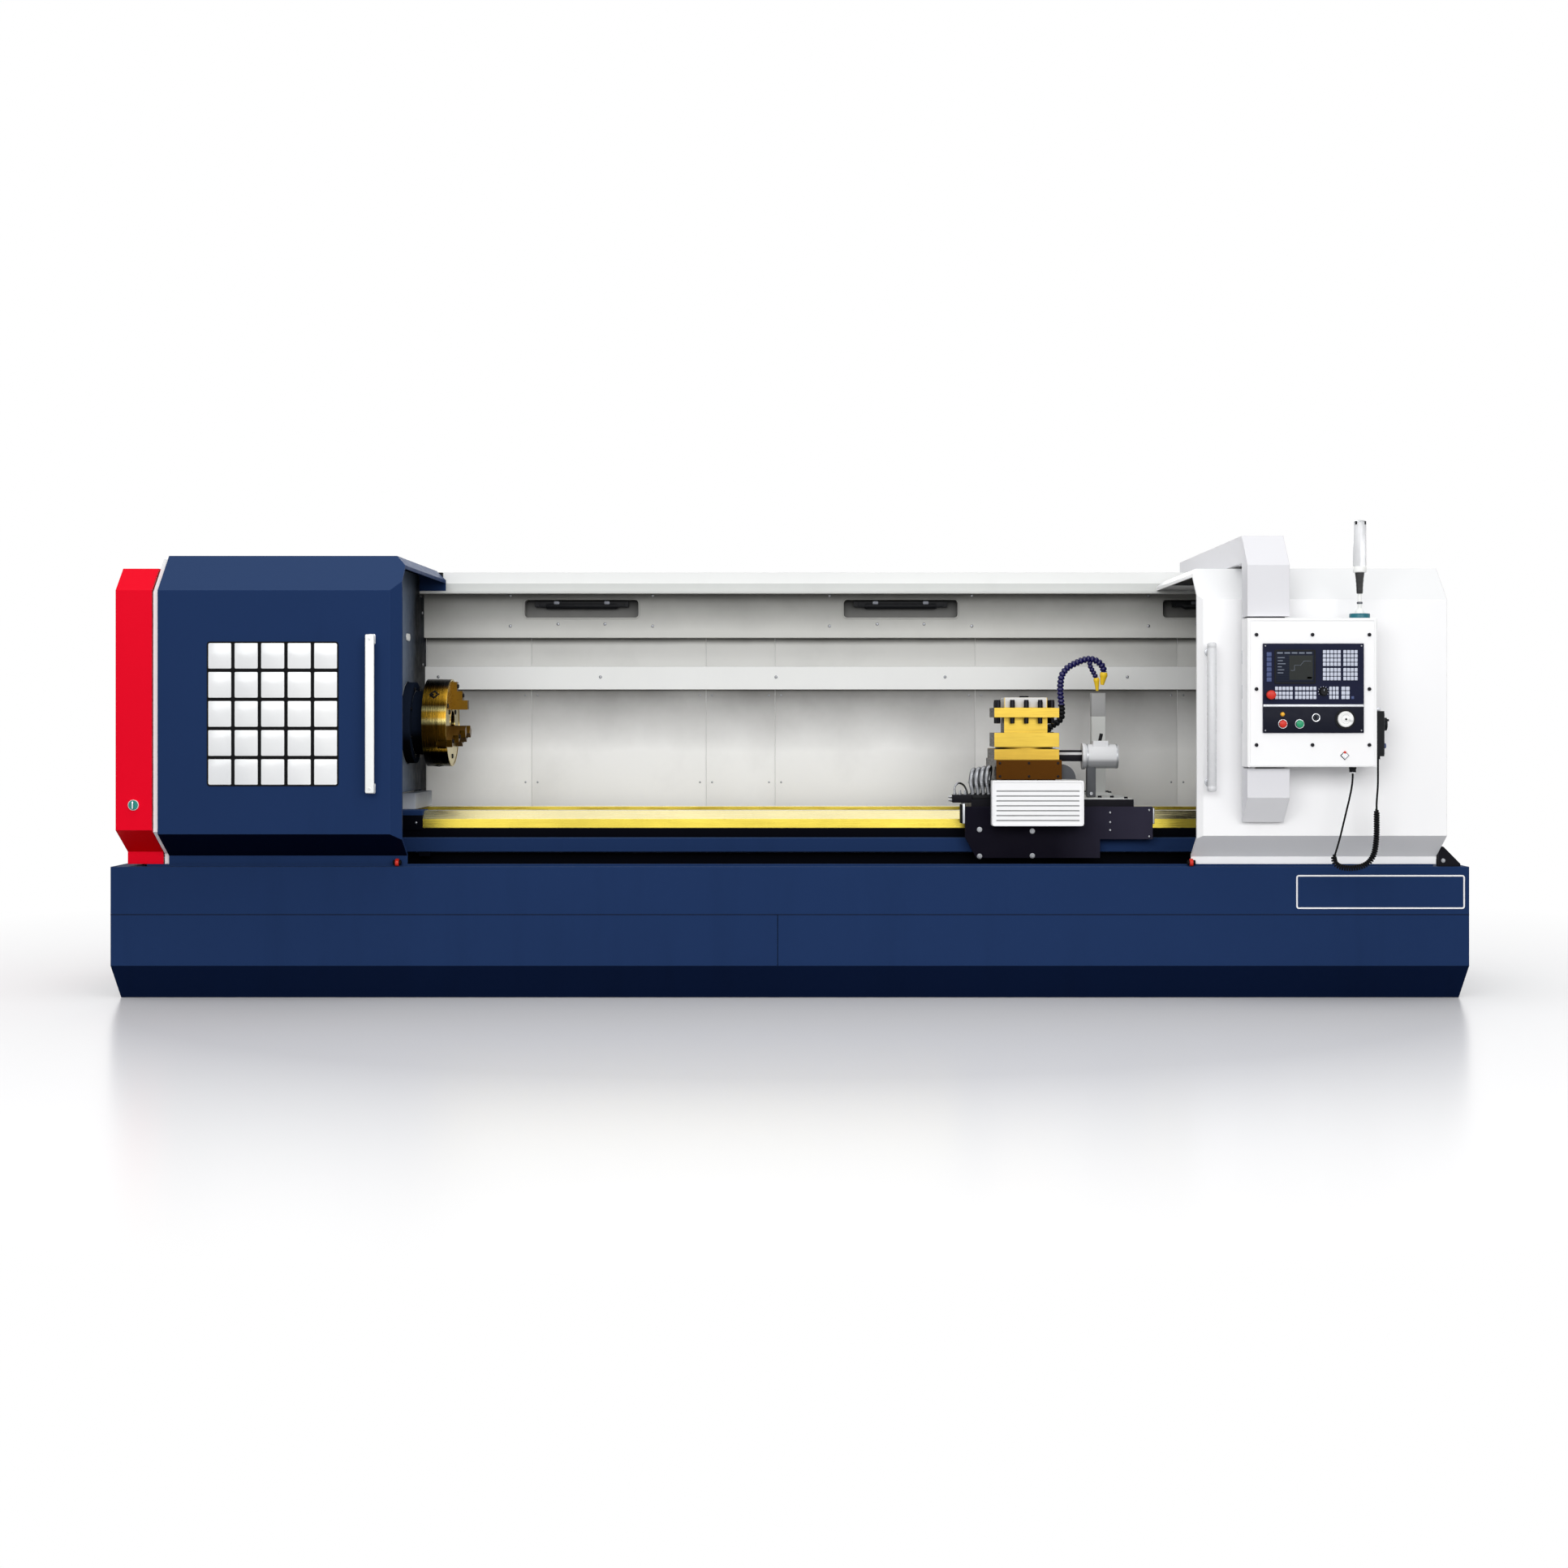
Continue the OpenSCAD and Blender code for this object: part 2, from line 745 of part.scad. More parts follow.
module headstock() {
    color([0.82, 0.83, 0.83])
        difference() {
            union() {
                block(head_x0, head_x1, head_y0, head_y1, bed_top, spindle_z + head_rise);
                block(head_x0 + 120, head_x1 - 120, head_y0 + 60, head_y1 - 60, spindle_z + head_rise,
                    spindle_z + head_rise + 24);
                bar_x(cap_r, head_x1, cap_x1, spindle_y, spindle_z);
            }
            block(head_x0 + land_l, head_x1 - land_l, head_y0 + head_wall, head_y1 - head_wall,
                bed_top + head_wall, spindle_z + head_rise - head_wall);
            bar_x(spindle_r + run, head_x0 - 1, cap_x1 + 1, spindle_y, spindle_z);
        }
}

module spindle() {
    color("silver")
        difference() {
            union() {
                bar_x(spindle_r, pulley_x0 - 20, nose_x0, spindle_y, spindle_z);
                bar_x(nose_r, nose_x0, chuck_x0, spindle_y, spindle_z);
            }
            bar_x(spindle_bore_r, pulley_x0 - 21, chuck_x0 + 1, spindle_y, spindle_z);
        }
}

// Grooved pulley along X: four belt grooves in its rim
module pulley(r, bore, x0, w, y, z) {
    grooves = 4;
    pitch = w / (grooves + 1);
    depth = 8;
    difference() {
        bar_x(r, x0, x0 + w, y, z);
        bar_x(bore, x0 - 1, x0 + w + 1, y, z);
        for (i = [1:grooves])
            translate([x0 + i * pitch, y, z])
                rotate([0, 90, 0])
                    rotate_extrude()
                        polygon([[r - depth, -2], [r + 1, -5], [r + 1, 5], [r - depth, 2]]);
    }
}

module spindle_pulley() {
    color([0.2, 0.2, 0.22])
        pulley(pulley_r, spindle_r + run, pulley_x0, pulley_w, spindle_y, spindle_z);
}

module motor_pulley() {
    color([0.2, 0.2, 0.22]) {
        pulley(motor_pulley_r, motor_shaft_r - 1, pulley_x0, pulley_w, motor_y, motor_z);
        bar_x(motor_shaft_r, pulley_x0, motor_x0 + 100, motor_y, motor_z);
    }
}

module spindle_motor() {
    foot_z0 = bed_top;
    color([0.25, 0.3, 0.36])
        difference() {
            union() {
                bar_x(motor_r, motor_x0, motor_x1, motor_y, motor_z);
                block(motor_x0 + 40, motor_x1 - 40, motor_y - 70, motor_y + 70, foot_z0 + 60, motor_z);
                block(motor_x0 + 20, motor_x1 - 20, head_y1 + 10, motor_y + 90, foot_z0, foot_z0 + 60);
                block(motor_x0 + 150, motor_x0 + 290, motor_y - 60, motor_y + 60, motor_z,
                    motor_z + motor_r + 50);
            }
            bar_x(motor_shaft_r + run, motor_x0 - 1, motor_x0 + 101, motor_y, motor_z);
        }
}

// Points of an arc
function arc(c, r, from, to, steps) =
    [for (i = [0:steps]) c + r * [cos(from + (to - from) * i / steps), sin(from + (to - from) * i / steps)]];

// Outline of a belt round both pulleys: two arcs and the straight runs between them
module belt_outline(grow) {
    span = norm([motor_dy, motor_dz]);
    lean = acos((pulley_r - motor_pulley_r) / span);
    rotate(atan2(-motor_dz, motor_dy))
        polygon(concat(arc([0, 0], pulley_r + grow, lean, 360 - lean, 36),
            arc([span, 0], motor_pulley_r + grow, -lean, lean, 30)));
}

module drive_belts() {
    belt_gap = 0.4;
    grooves = 4;
    pitch = pulley_w / (grooves + 1);
    color([0.08, 0.08, 0.08])
        for (i = [1:grooves])
            translate([pulley_x0 + i * pitch - 6, spindle_y, spindle_z])
                rotate([90, 0, 90])
                    linear_extrude(12)
                        difference() {
                            belt_outline(belt_gap + belt_t);
                            belt_outline(belt_gap);
                        }
}

jaw_angles = [90, 210, 330];
key_angles = [141.3, 261.3, 21.3];

// Turns a shape that points along +Y to an angle round the spindle axis
module round_spindle(angle) {
    translate([0, spindle_y, spindle_z])
        rotate([angle, 0, 0])
            children();
}

module chuck_body() {
    key = 20;
    color([0.78, 0.58, 0.2])
        difference() {
            bar_x(chuck_r, chuck_x0, chuck_x1, spindle_y, spindle_z);
            bar_x(chuck_hole_r, chuck_x0 - 1, chuck_x1 + 1, spindle_y, spindle_z);
            for (angle = jaw_angles)
                round_spindle(angle)
                    block(chuck_x1 - jaw_slot, chuck_x1 + 1, 0, chuck_r + 10, -jaw_w / 2 - slide_gap,
                        jaw_w / 2 + slide_gap);
            for (angle = key_angles)
                round_spindle(angle)
                    block(chuck_x0 + 40 - key / 2, chuck_x0 + 40 + key / 2, chuck_r - 30, chuck_r + 10,
                        -key / 2, key / 2);
        }
}

// One stepped jaw, pointing along +Y from the spindle axis
module jaw(angle) {
    root = chuck_x1 - jaw_slot + slide_gap;
    step_y = (jaw_out - jaw_in) / 3;
    step_x = jaw_proud / 3;
    color([0.72, 0.55, 0.22])
        round_spindle(angle)
            translate([0, 0, -jaw_w / 2])
                linear_extrude(jaw_w)
                    polygon([[root, jaw_in], [jaw_x1, jaw_in], [jaw_x1, jaw_in + step_y],
                        [jaw_x1 - step_x, jaw_in + step_y], [jaw_x1 - step_x, jaw_in + 2 * step_y],
                        [jaw_x1 - 2 * step_x, jaw_in + 2 * step_y], [jaw_x1 - 2 * step_x, jaw_out],
                        [root, jaw_out]]);
}

module chuck_jaw_1() {
    jaw(jaw_angles[0]);
}

module chuck_jaw_2() {
    jaw(jaw_angles[1]);
}

module chuck_jaw_3() {
    jaw(jaw_angles[2]);
}

// Fixed sheet walls inside the guards

module chuck_wall() {
    lay = 26;
    door = inset(left_path, lay);
    notch_top = bed_top + 157;
    color([0.2, 0.22, 0.25])
        difference() {
            along_x([[door[0].x, base_top], door[1], door[2], door[3], door[4], [roof_back - 60, door[4].y],
                [roof_back - 60, rail_z - 30], [panel_y, rail_z - 30], [panel_y, base_top]],
                wall_x0, wall_x1);
            block(wall_x0 - 1, wall_x1 + 1, screw_cover_y - 60, bed_y1 + 40, base_top - 1, notch_top);
            bar_x(cap_r + pass, wall_x0 - 1, wall_x1 + 1, spindle_y, spindle_z);
        }
}

hinge_x = cover_x1 + side_gap / 2;
hinge_y = cover_back + knuckle_r + 2;
hinge_heights = [foot_low + 210, cover_top - 195];
knuckle_l = 60;

module end_frame() {
    lay = 16;
    door = inset(left_path, lay);
    color(white)
        difference() {
            union() {
                along_x([[door[0].x, base_top], door[1], door[2], door[3], door[4],
                    [cover_back, door[4].y], [cover_back, base_top]], frame_x0, frame_x1);
                for (z = hinge_heights) {
                    bar_z(knuckle_r, z - knuckle_l, z, hinge_x, hinge_y);
                    block(hinge_x, frame_x1, cover_back - 2, hinge_y, z - knuckle_l, z);
                    bar_z(hinge_r, z - 1, z + knuckle_l, hinge_x, hinge_y);
                }
            }
            bar_x(spindle_r + pass, frame_x0 - 1, frame_x1 + 1, spindle_y, spindle_z);
            bar_x(motor_shaft_r + pass, frame_x0 - 1, frame_x1 + 1, motor_y, motor_z);
            block(frame_x0 - 1, frame_x1 + 1, bed_y0 - 20, bed_y1 + 20, base_top - 1, bed_top + 20);
        }
}

lock_x = cover_x0 + cover_w / 2;

module end_cover() {
    color([0.86, 0.04, 0.14])
        difference() {
            union() {
                difference() {
                    along_x(cover_path, cover_x0, cover_x1);
                    along_x(concat(inset(cover_path, guard_t), [[cover_back - guard_t, foot_low - 1],
                        [-foot_front + guard_t, foot_low - 1]]), cover_x0 + guard_t, cover_x1 + 1);
                }
                for (z = hinge_heights) {
                    bar_z(knuckle_r, z, z + knuckle_l, hinge_x, hinge_y);
                    block(cover_x1 - 40, hinge_x, cover_back - 2, hinge_y, z, z + knuckle_l);
                }
            }
            for (z = hinge_heights)
                bar_z(hinge_r + run, z - 1, z + knuckle_l + 1, hinge_x, hinge_y);
            bar_y(lock_r / 2 + run, -guard_front - 1, -guard_front + guard_t + 1, lock_x, lock_z);
        }
}

module end_cover_lock() {
    front = -guard_front;
    back = front + guard_t;
    color([0.1, 0.45, 0.42])
        union() {
            bar_y(lock_r, front - 10, front - slide_gap, lock_x, lock_z);
            block(lock_x - 4, lock_x + 4, front - 18, front - 9, lock_z - lock_r + 3, lock_z + lock_r - 3);
            bar_y(lock_r / 2, front - 1, back + 8, lock_x, lock_z);
            block(lock_x - 8, lock_x + 8, back + 2, back + 8, lock_z - 8, lock_z + 45);
        }
}

// Sliding guards

window_x0 = left_x0 + window_dx;

module left_door() {
    color(navy)
        difference() {
            guard(left_path, left_x0, left_x1, left_chamfer, left_top);
            plate_y(window_x0, window_z, window_w, window_h, window_corner, -guard_front - 1,
                -guard_front + guard_t + 1);
        }
}

module window_grid() {
    cell_w = (window_w - bar_w * (pane_n + 1)) / pane_n;
    cell_h = (window_h - bar_w * (pane_n + 1)) / pane_n;
    color([0.15, 0.15, 0.16])
        difference() {
            plate_y(window_x0, window_z, window_w, window_h, window_corner, -guard_front,
                -guard_front + guard_t);
            for (i = [0:pane_n - 1], k = [0:pane_n - 1])
                plate_y(window_x0 + bar_w + i * (cell_w + bar_w), window_z + bar_w + k * (cell_h + bar_w),
                    cell_w, cell_h, 6, -guard_front - 1, -guard_front + guard_t + 1);
        }
}

module window_pane() {
    lap = 20;
    color([0.9, 0.92, 0.92])
        plate_y(window_x0 - lap, window_z - lap, window_w + 2 * lap, window_h + 2 * lap, window_corner,
            -guard_front + guard_t, -guard_front + guard_t + pane_t);
}

left_handle_inset = 152;
left_handle_rise = 180;
left_handle_x = left_x1 - left_handle_inset;
left_handle_z = left_low + left_handle_rise;
left_handle_l = left_slant - left_handle_drop - left_handle_z;

module left_handle() {
    front = -guard_front;
    bar_t = 16;
    post = 40;
    x1 = left_handle_x + left_handle_w;
    z1 = left_handle_z + left_handle_l;
    color([0.95, 0.97, 0.95]) {
        block(left_handle_x, x1, front - handle_gap - bar_t, front - handle_gap, left_handle_z, z1);
        block(left_handle_x + 8, x1 - 8, front - handle_gap, front, left_handle_z, left_handle_z + post);
        block(left_handle_x + 8, x1 - 8, front - handle_gap, front, z1 - post, z1);
    }
}

module right_door() {
    color(white)
        guard(right_path, right_x1, right_x0, right_chamfer, right_top);
}

right_handle_inset = 52;
right_handle_rise = 194;
right_handle_x = right_x0 + right_handle_inset;
right_handle_z = right_low + right_handle_rise;
right_handle_l = right_slant - right_handle_drop - right_handle_z;

module right_handle() {
    axis_y = -guard_front - handle_gap - right_handle_r;
    post_r = right_handle_r * 0.7;
    color([0.8, 0.8, 0.82]) {
        bar_z(right_handle_r, right_handle_z, right_handle_z + right_handle_l, right_handle_x, axis_y);
        for (z = [right_handle_z + 40, right_handle_z + right_handle_l - 40])
            bar_y(post_r, axis_y, -guard_front, right_handle_x, z);
    }
}

rail_leg = 12;

module door_rail() {
    x0 = frame_x1;
    x1 = right_x1;
    color([0.85, 0.85, 0.86]) {
        block(x0, x1, roof_back - 30, lip_y, rail_z - rail_leg, rail_z);
        block(x0, x1, lip_y - rail_leg, lip_y, rail_z - rail_leg, rail_z + 40);
    }
}

// Rear guard with its lights

module rear_guard() {
    sheet = 12;
    door = inset(right_path, 20);
    wall_top = rail_z - 30;
    slant = (door[4].y - door[3].y) / (door[4].x - door[3].x);
    color(white)
        difference() {
            union() {
                block(guard_x0, guard_x1, panel_y, panel_y + sheet, base_top, lip_top);
                block(guard_x0, guard_x1, lip_y, panel_y + sheet, lip_top - sheet, lip_top);
                block(guard_x0, guard_x1, lip_y, lip_y + sheet, lip_low, lip_top);
                block(wall_x1, guard_x1, panel_y - duct_d, panel_y, duct_low, duct_low + duct_h);
                along_x([[door[0].x, base_top], door[1], door[2], door[3],
                    [door[3].x + (wall_top - door[3].y) / slant, wall_top], [panel_y + sheet, wall_top],
                    [panel_y + sheet, base_top]], end_wall_x0, end_wall_x1);
            }
            block(end_wall_x0 - 1, end_wall_x1 + 1, bed_y0 - 100, bed_y1 + 20, base_top - 1, bed_top + 30);
            block(column_x0 - pass, column_x1 + pass, lip_y - 1, panel_y + sheet + 1, arm_low - pass,
                lip_top + 1);
        }
}

light_y = panel_y - light_d;
lamp_places = [for (i = [-1:1]) lamp_x + i * lamp_pitch];
lamp_z = light_low + 99;
lamp_pocket = light_d - 10;

module light_box() {
    color([0.8, 0.81, 0.8])
        difference() {
            block(wall_x1, end_wall_x0, light_y, panel_y, light_low, lip_low + 40);
            for (x = lamp_places)
                plate_y(x - lamp_w / 2, lamp_z, lamp_w, lamp_h, 17, light_y - 1, light_y + lamp_pocket);
        }
}

module work_lamps() {
    margin = 50;
    bar_h = 26;
    color([0.1, 0.1, 0.1])
        for (x = lamp_places) {
            block(x - lamp_w / 2 + margin, x + lamp_w / 2 - margin, light_y + 16, light_y + lamp_pocket,
                lamp_z + lamp_h - bar_h - 8, lamp_z + lamp_h - 8);
            for (s = [-1, 1])
                block(x + s * 120 - 14, x + s * 120 + 14, light_y + 30, light_y + lamp_pocket,
                    lamp_z + lamp_h - 8, lamp_z + lamp_h);
        }
}

module electrical_cabinet() {
    w = 1200;
    top = lip_top - 171;
    x0 = x_left + 320;
    y0 = panel_y + 50;
    y1 = base_rear - 12;
    door_t = 18;
    door_pitch = w / 2 - 10;
    color([0.86, 0.87, 0.87]) {
        block(x0, x0 + w, y0, y1 - door_t, base_top, top);
        for (i = [0, 1])
            block(x0 + 20 + i * door_pitch, x0 + (i + 1) * door_pitch, y1 - door_t, y1, base_top + 40,
                top - 30);
    }
}

// Carriage

module saddle() {
    rail_half = turret_w / 2 - 26;
    groove = 40;
    color([0.1, 0.1, 0.12])
        difference() {
            union() {
                block(apron_x0 + 30, apron_x1 - 81, apron_y1, saddle_y1, way_top, saddle_top);
                block(turret_x - rail_half, turret_x + rail_half, apron_y1 + 10, saddle_y1, saddle_top,
                    rail_top);
            }
            block(turret_x - groove - slide_gap, turret_x + groove + slide_gap, apron_y1, saddle_y1 + 1,
                rail_top - 30, rail_top + 1);
        }
}

module apron() {
    step_x = apron_x1 - 239;
    step_z = bed_top - 45;
    nut_y0 = screw_y - 32;
    nut_z1 = screw_cover_top - cover_sheet - 3;
    color([0.07, 0.07, 0.11])
        difference() {
            union() {
                along_y([[apron_x0, apron_top], [apron_x0, step_z + 7], [apron_x0 + 51, apron_low],
                    [step_x, apron_low], [step_x, step_z], [apron_x1, step_z], [apron_x1, apron_top]],
                    apron_y0, apron_y1);
                block(nut_x - 70, nut_x + 70, apron_y1 - 1, nut_y0 + 1, apron_low, screw_cover_low - 6);
                block(nut_x - 70, nut_x + 70, nut_y0, screw_y + 34, apron_low, nut_z1);
            }
            bar_x(screw_r + run, nut_x - 71, nut_x + 71, screw_y, screw_z);
        }
}

module coolant_post() {
    side = 66;
    x = carriage_x + 250;
    y = -40;
    top = way_top + 546;
    wall = 8;
    foot = 60;
    color([0.7, 0.71, 0.72])
        difference() {
            union() {
                block(x - side / 2, x + side / 2, y - side / 2, y + side / 2, saddle_top, top);
                block(x - foot, x + foot, y - foot, y + foot, saddle_top, saddle_top + 14);
            }
            block(x - side / 2 + wall, x + side / 2 - wall, y - side / 2 + wall, y + side / 2 - wall,
                top - 60, top + 1);
        }
}

// Four conduits that rise from the saddle and bend over to its rear
module carriage_conduits() {
    r = 10;
    bend = 60;
    x0 = apron_x0 + 42;
    y0 = -590;
    top = saddle_top + 76;
    color([0.55, 0.56, 0.58])
        union() {
            for (i = [0:3]) {
                x = x0 + i * 24;
                bar_z(r, saddle_top, top, x, y0);
                translate([x, y0 + bend, top])
                    rotate([90, 0, 90])
                        rotate_extrude(angle = 180)
                            translate([bend, 0])
                                circle(r);
                bar_z(r, saddle_top, top, x, y0 + 2 * bend);
            }
            block(x0 - 16, x0 + 88, y0 - 16, y0 + 16, saddle_top, saddle_top + 20);
            block(x0 - 16, x0 + 88, y0 + 2 * bend - 16, y0 + 2 * bend + 16, saddle_top, saddle_top + 20);
        }
}

// Ribbed cover of the cross feed's motor, on the apron's front
module motor_cover() {
    w = 409;
    h = 201;
    d = 100;
    x0 = turret_x - 175;
    top = rail_top - 3;
    rib_h = 11;
    ribs = 7;
    color([0.97, 0.97, 0.97])
        difference() {
            block(x0, x0 + w, apron_y0 - d, apron_y0, top - h, top);
            for (i = [0:ribs - 1])
                block(x0 + 18, x0 + w - 18, apron_y0 - d - 1, apron_y0 - d + 6, top - h + 20 + i * 2 * rib_h,
                    top - h + 20 + i * 2 * rib_h + rib_h / 2);
            block(x0 + 6, x0 + w - 6, apron_y0 - d + 12, apron_y0 + 1, top - h - 1, top - 6);
        }
}

module cross_slide() {
    half = turret_w / 2;
    front = -640;
    back = 0;
    key_half = 40;
    key_d = 26;
    color([0.3, 0.17, 0.03])
        union() {
            block(turret_x - half, turret_x + half, front, back, rail_top, slide_top);
            block(turret_x - key_half, turret_x + key_half, front + 140, back - 20, rail_top - key_d,
                rail_top + 1);
        }
}

turret_back = -90;

module turret_base() {
    half = turret_w / 2;
    color([0.93, 0.72, 0.36])
        union() {
            block(turret_x - half, turret_x + half, turret_y - half, turret_back, slide_top, base_block_top);
            bar_z(turret_w * 0.45, base_block_top, seat_z, turret_x, turret_y);
            bar_z(turret_pin_r, seat_z, slot_z + 30, turret_x, turret_y);
        }
}

turret_motor_r = 56;
turret_motor_z = slide_top + 14;
turret_motor_y = turret_y - 40;

module turret_motor() {
    x0 = turret_x + turret_w / 2;
    x1 = x0 + 115;
    color([0.78, 0.79, 0.8])
        union() {
            block(x0, x1, turret_motor_y - 20, turret_motor_y + 20, slide_top + 2, slide_top + 40);
            bar_x(turret_motor_r, x1, x1 + 166, turret_motor_y, turret_motor_z);
            bar_x(turret_motor_r + 5, x1, x1 + 14, turret_motor_y, turret_motor_z);
            block(x1 + 50, x1 + 120, turret_motor_y - 34, turret_motor_y + 34,
                turret_motor_z + 30, turret_motor_z + turret_motor_r + 16);
        }
}

module turret_head() {
    half = turret_w / 2;
    neck = half - slot_d;
    plate_z = slot_z + slot_h;
    screw_n = 3;
    screw_pitch = 64;
    reach = 28;
    rise = 36;
    edge = slot_d / 2;
    crown = 99;
    crown_h = 47;
    color(gold)
        difference() {
            union() {
                block(turret_x - half, turret_x + half, turret_y - half, turret_y + half, seat_z, slot_z);
                block(turret_x - neck, turret_x + neck, turret_y - neck, turret_y + neck, slot_z, plate_z);
                block(turret_x - half, turret_x + half, turret_y - half, turret_y + half, plate_z,
                    turret_top);
                block(turret_x - crown, turret_x + crown, turret_y - crown, turret_y + crown, turret_top,
                    turret_top + crown_h);
                for (turn = [0:90:270], i = [0:screw_n - 1])
                    translate([turret_x, turret_y, 0])
                        rotate(turn)
                            bar_z(9, plate_z - reach, turret_top + rise, (i - 1) * screw_pitch, -half + edge);
            }
            bar_z(turret_pin_r + run, seat_z - 1, slot_z + 32, turret_x, turret_y);
        }
}

// Radii along a hose that ends in a nozzle: an even run, a collar and a tip
function hose_radii(count, r) = [for (i = [1:count]) i == count ? r / 2 : i == count - 1 ? r + 2 : r];

// Coolant arm on the turret's base: fitting, hose with its nozzle, and a branch with another nozzle
module coolant_hoses() {
    y = -120;
    from = [turret_x, spindle_z];
    foot = from + [140, -44];
    fitting = 24;
    hose_r = 17;
    branch_r = 13;
    arm = [for (p = [[140, -44], [140, -32], [154, -16], [182, 2], [200, 24], [203, 56], [201, 90],
        [197, 125], [196, 160], [198, 196], [206, 230], [230, 261], [256, 277], [281, 289], [308, 299],
        [334, 303], [355, 300], [374, 291], [390, 277], [400, 259], [403, 239], [402, 226], [395, 180]])
        from + p];
    branch = [for (p = [[336, 283.6], [336, 271], [347, 252], [358, 232], [367, 213], [369, 201],
        [372, 152]]) from + p];
    color([0.05, 0.05, 0.3]) {
        union() {
            bar_z(20, base_block_top, foot.y - 20, foot.x, y);
            block(foot.x - fitting, foot.x + fitting, y - fitting, y + fitting, foot.y - 34, foot.y);
        }
        swept_tube(arm, y, hose_radii(len(arm), hose_r), 10);
        swept_tube(branch, y, hose_radii(len(branch), branch_r), 10);
    }
}

// Tailstock

quill_len = tail_l - 60;
barrel_x0 = tail_x0 - 40;
barrel_x1 = tail_x1 + 20;
tail_screw_r = 18;

module tailstock() {
    foot_h = 90;
    color([0.8, 0.81, 0.82])
        difference() {
            union() {
                block(tail_x0, tail_x1, bed_y0 + 10, bed_y1 - 10, way_top, way_top + foot_h);
                along_x([[spindle_y - 190, way_top + foot_h], [spindle_y - 80, spindle_z],
                    [spindle_y + 80, spindle_z], [spindle_y + 190, way_top + foot_h]],
                    tail_x0 + 40, tail_x1 - 40);
                bar_x(barrel_r, barrel_x0, barrel_x1, spindle_y, spindle_z);
            }
            bar_x(quill_r + run, barrel_x0 - 1, barrel_x1 - 40, spindle_y, spindle_z);
            bar_x(tail_screw_r + run, barrel_x1 - 41, barrel_x1 + 1, spindle_y, spindle_z);
        }
}

module quill() {
    x0 = barrel_x0 - quill_out;
    color("silver")
        difference() {
            union() {
                bar_x(quill_r, x0, x0 + quill_len, spindle_y, spindle_z);
                translate([x0, spindle_y, spindle_z])
                    rotate([0, -90, 0])
                        cylinder(r1 = quill_r * 0.7, r2 = 2, h = centre_l);
            }
            bar_x(tail_screw_r + 4, x0 + 120, x0 + quill_len + 1, spindle_y, spindle_z);
        }
}

module tailstock_handwheel() {
    x0 = barrel_x1 + 6;
    rim = 16;
    spokes = 3;
    color([0.12, 0.12, 0.13])
        union() {
            bar_x(tail_screw_r, barrel_x0 + quill_len - 60, x0 + 40, spindle_y, spindle_z);
            bar_x(34, x0, x0 + 40, spindle_y, spindle_z);
            translate([x0 + 20, spindle_y, spindle_z])
                rotate([0, 90, 0])
                    rotate_extrude()
                        translate([tail_wheel_r - rim, 0])
                            circle(rim);
            for (i = [0:spokes - 1])
                round_spindle(i * 360 / spokes)
                    bar_y(9, 20, tail_wheel_r - rim, x0 + 20, 0);
            round_spindle(60)
                bar_x(12, x0 + 20, x0 + 110, tail_wheel_r - rim, 0);
        }
}

// Pendant

module pendant_arm() {
    stub_top = box_z - box_gap;
    head_low = box_top + box_gap;
    post_back = base_rear - 10;
    color([0.9, 0.9, 0.92])
        difference() {
            along_x([[column_back, column_low], [-column_front, column_low + 111], [-column_front, stub_top],
                [spine_front, stub_top], [spine_front, head_low], [-column_front, head_low],
                [-column_front, arm_top - arm_slant], [-column_front + arm_slant, arm_top],
                [post_back, arm_top], [post_back, base_top], [post_back - post_d, base_top],
                [post_back - post_d, arm_low], [column_back, arm_low]], column_x0, column_x1);
            bar_z(swivel_r + run, stub_top - 40, stub_top + 1, pivot_x, pivot_y);
            bar_z(swivel_r + run, head_low - 1, head_low + 40, pivot_x, pivot_y);
        }
}

gland_r = 14;

module control_box() {
    color([0.95, 0.95, 0.95])
        difference() {
            union() {
                block(box_x0, box_x1, box_front, box_back, box_z, box_top);
                bar_z(swivel_r, box_z - box_gap - 38, box_z + 1, pivot_x, pivot_y);
                bar_z(swivel_r, box_top - 1, box_top + box_gap + 38, pivot_x, pivot_y);
                bar_z(gland_r, lead_in[0].y, box_z + 1, lead_in[0].x, cord_y);
            }
            block(panel_x0, panel_x0 + panel_w, box_front - 1, panel_front + panel_depth, panel_z0,
                panel_z0 + panel_h);
        }
}

// Places on the operator panel, from its lower left corner
stop_at = [31, 162];
red_at = [84, 38];
green_at = [156, 38];
key_at = [226, 65];
wheel_at = [350, 58];
knob_at = [257, 176];
shaft_r = 6;
shaft_l = 24;

// Bore for a control's shaft in the panel
module panel_bore(at, r) {
    bar_y(r + run, panel_front - 1, panel_front + shaft_l + 2, panel_x0 + at.x, panel_z0 + at.y);
}

module cnc_panel() {
    strip = 12;
    seam = 110;
    color([0.12, 0.16, 0.25])
        difference() {
            block(panel_x0, panel_x0 + panel_w, panel_front, panel_front + panel_depth, panel_z0,
                panel_z0 + panel_h);
            block(panel_x0 - 1, panel_x0 + panel_w + 1, panel_front - 1, panel_front + 2, panel_z0 + seam,
                panel_z0 + seam + strip);
            for (at = [stop_at, red_at, green_at, key_at, wheel_at, knob_at])
                panel_bore(at, shaft_r);
        }
}

// Round control on the panel: a head that stands off by its travel, on a shaft
module control(at, r, rise, travel) {
    x = panel_x0 + at.x;
    z = panel_z0 + at.y;
    bar_y(r, panel_front - travel - rise, panel_front - travel, x, z);
    bar_y(shaft_r, panel_front - travel - 1, panel_front + shaft_l - travel, x, z);
}

stop_travel = 9;
button_travel = 5;
turn_gap = 0.5;

module emergency_stop() {
    color([0.85, 0.2, 0.1])
        control(stop_at, stop_r, 18, stop_travel);
}

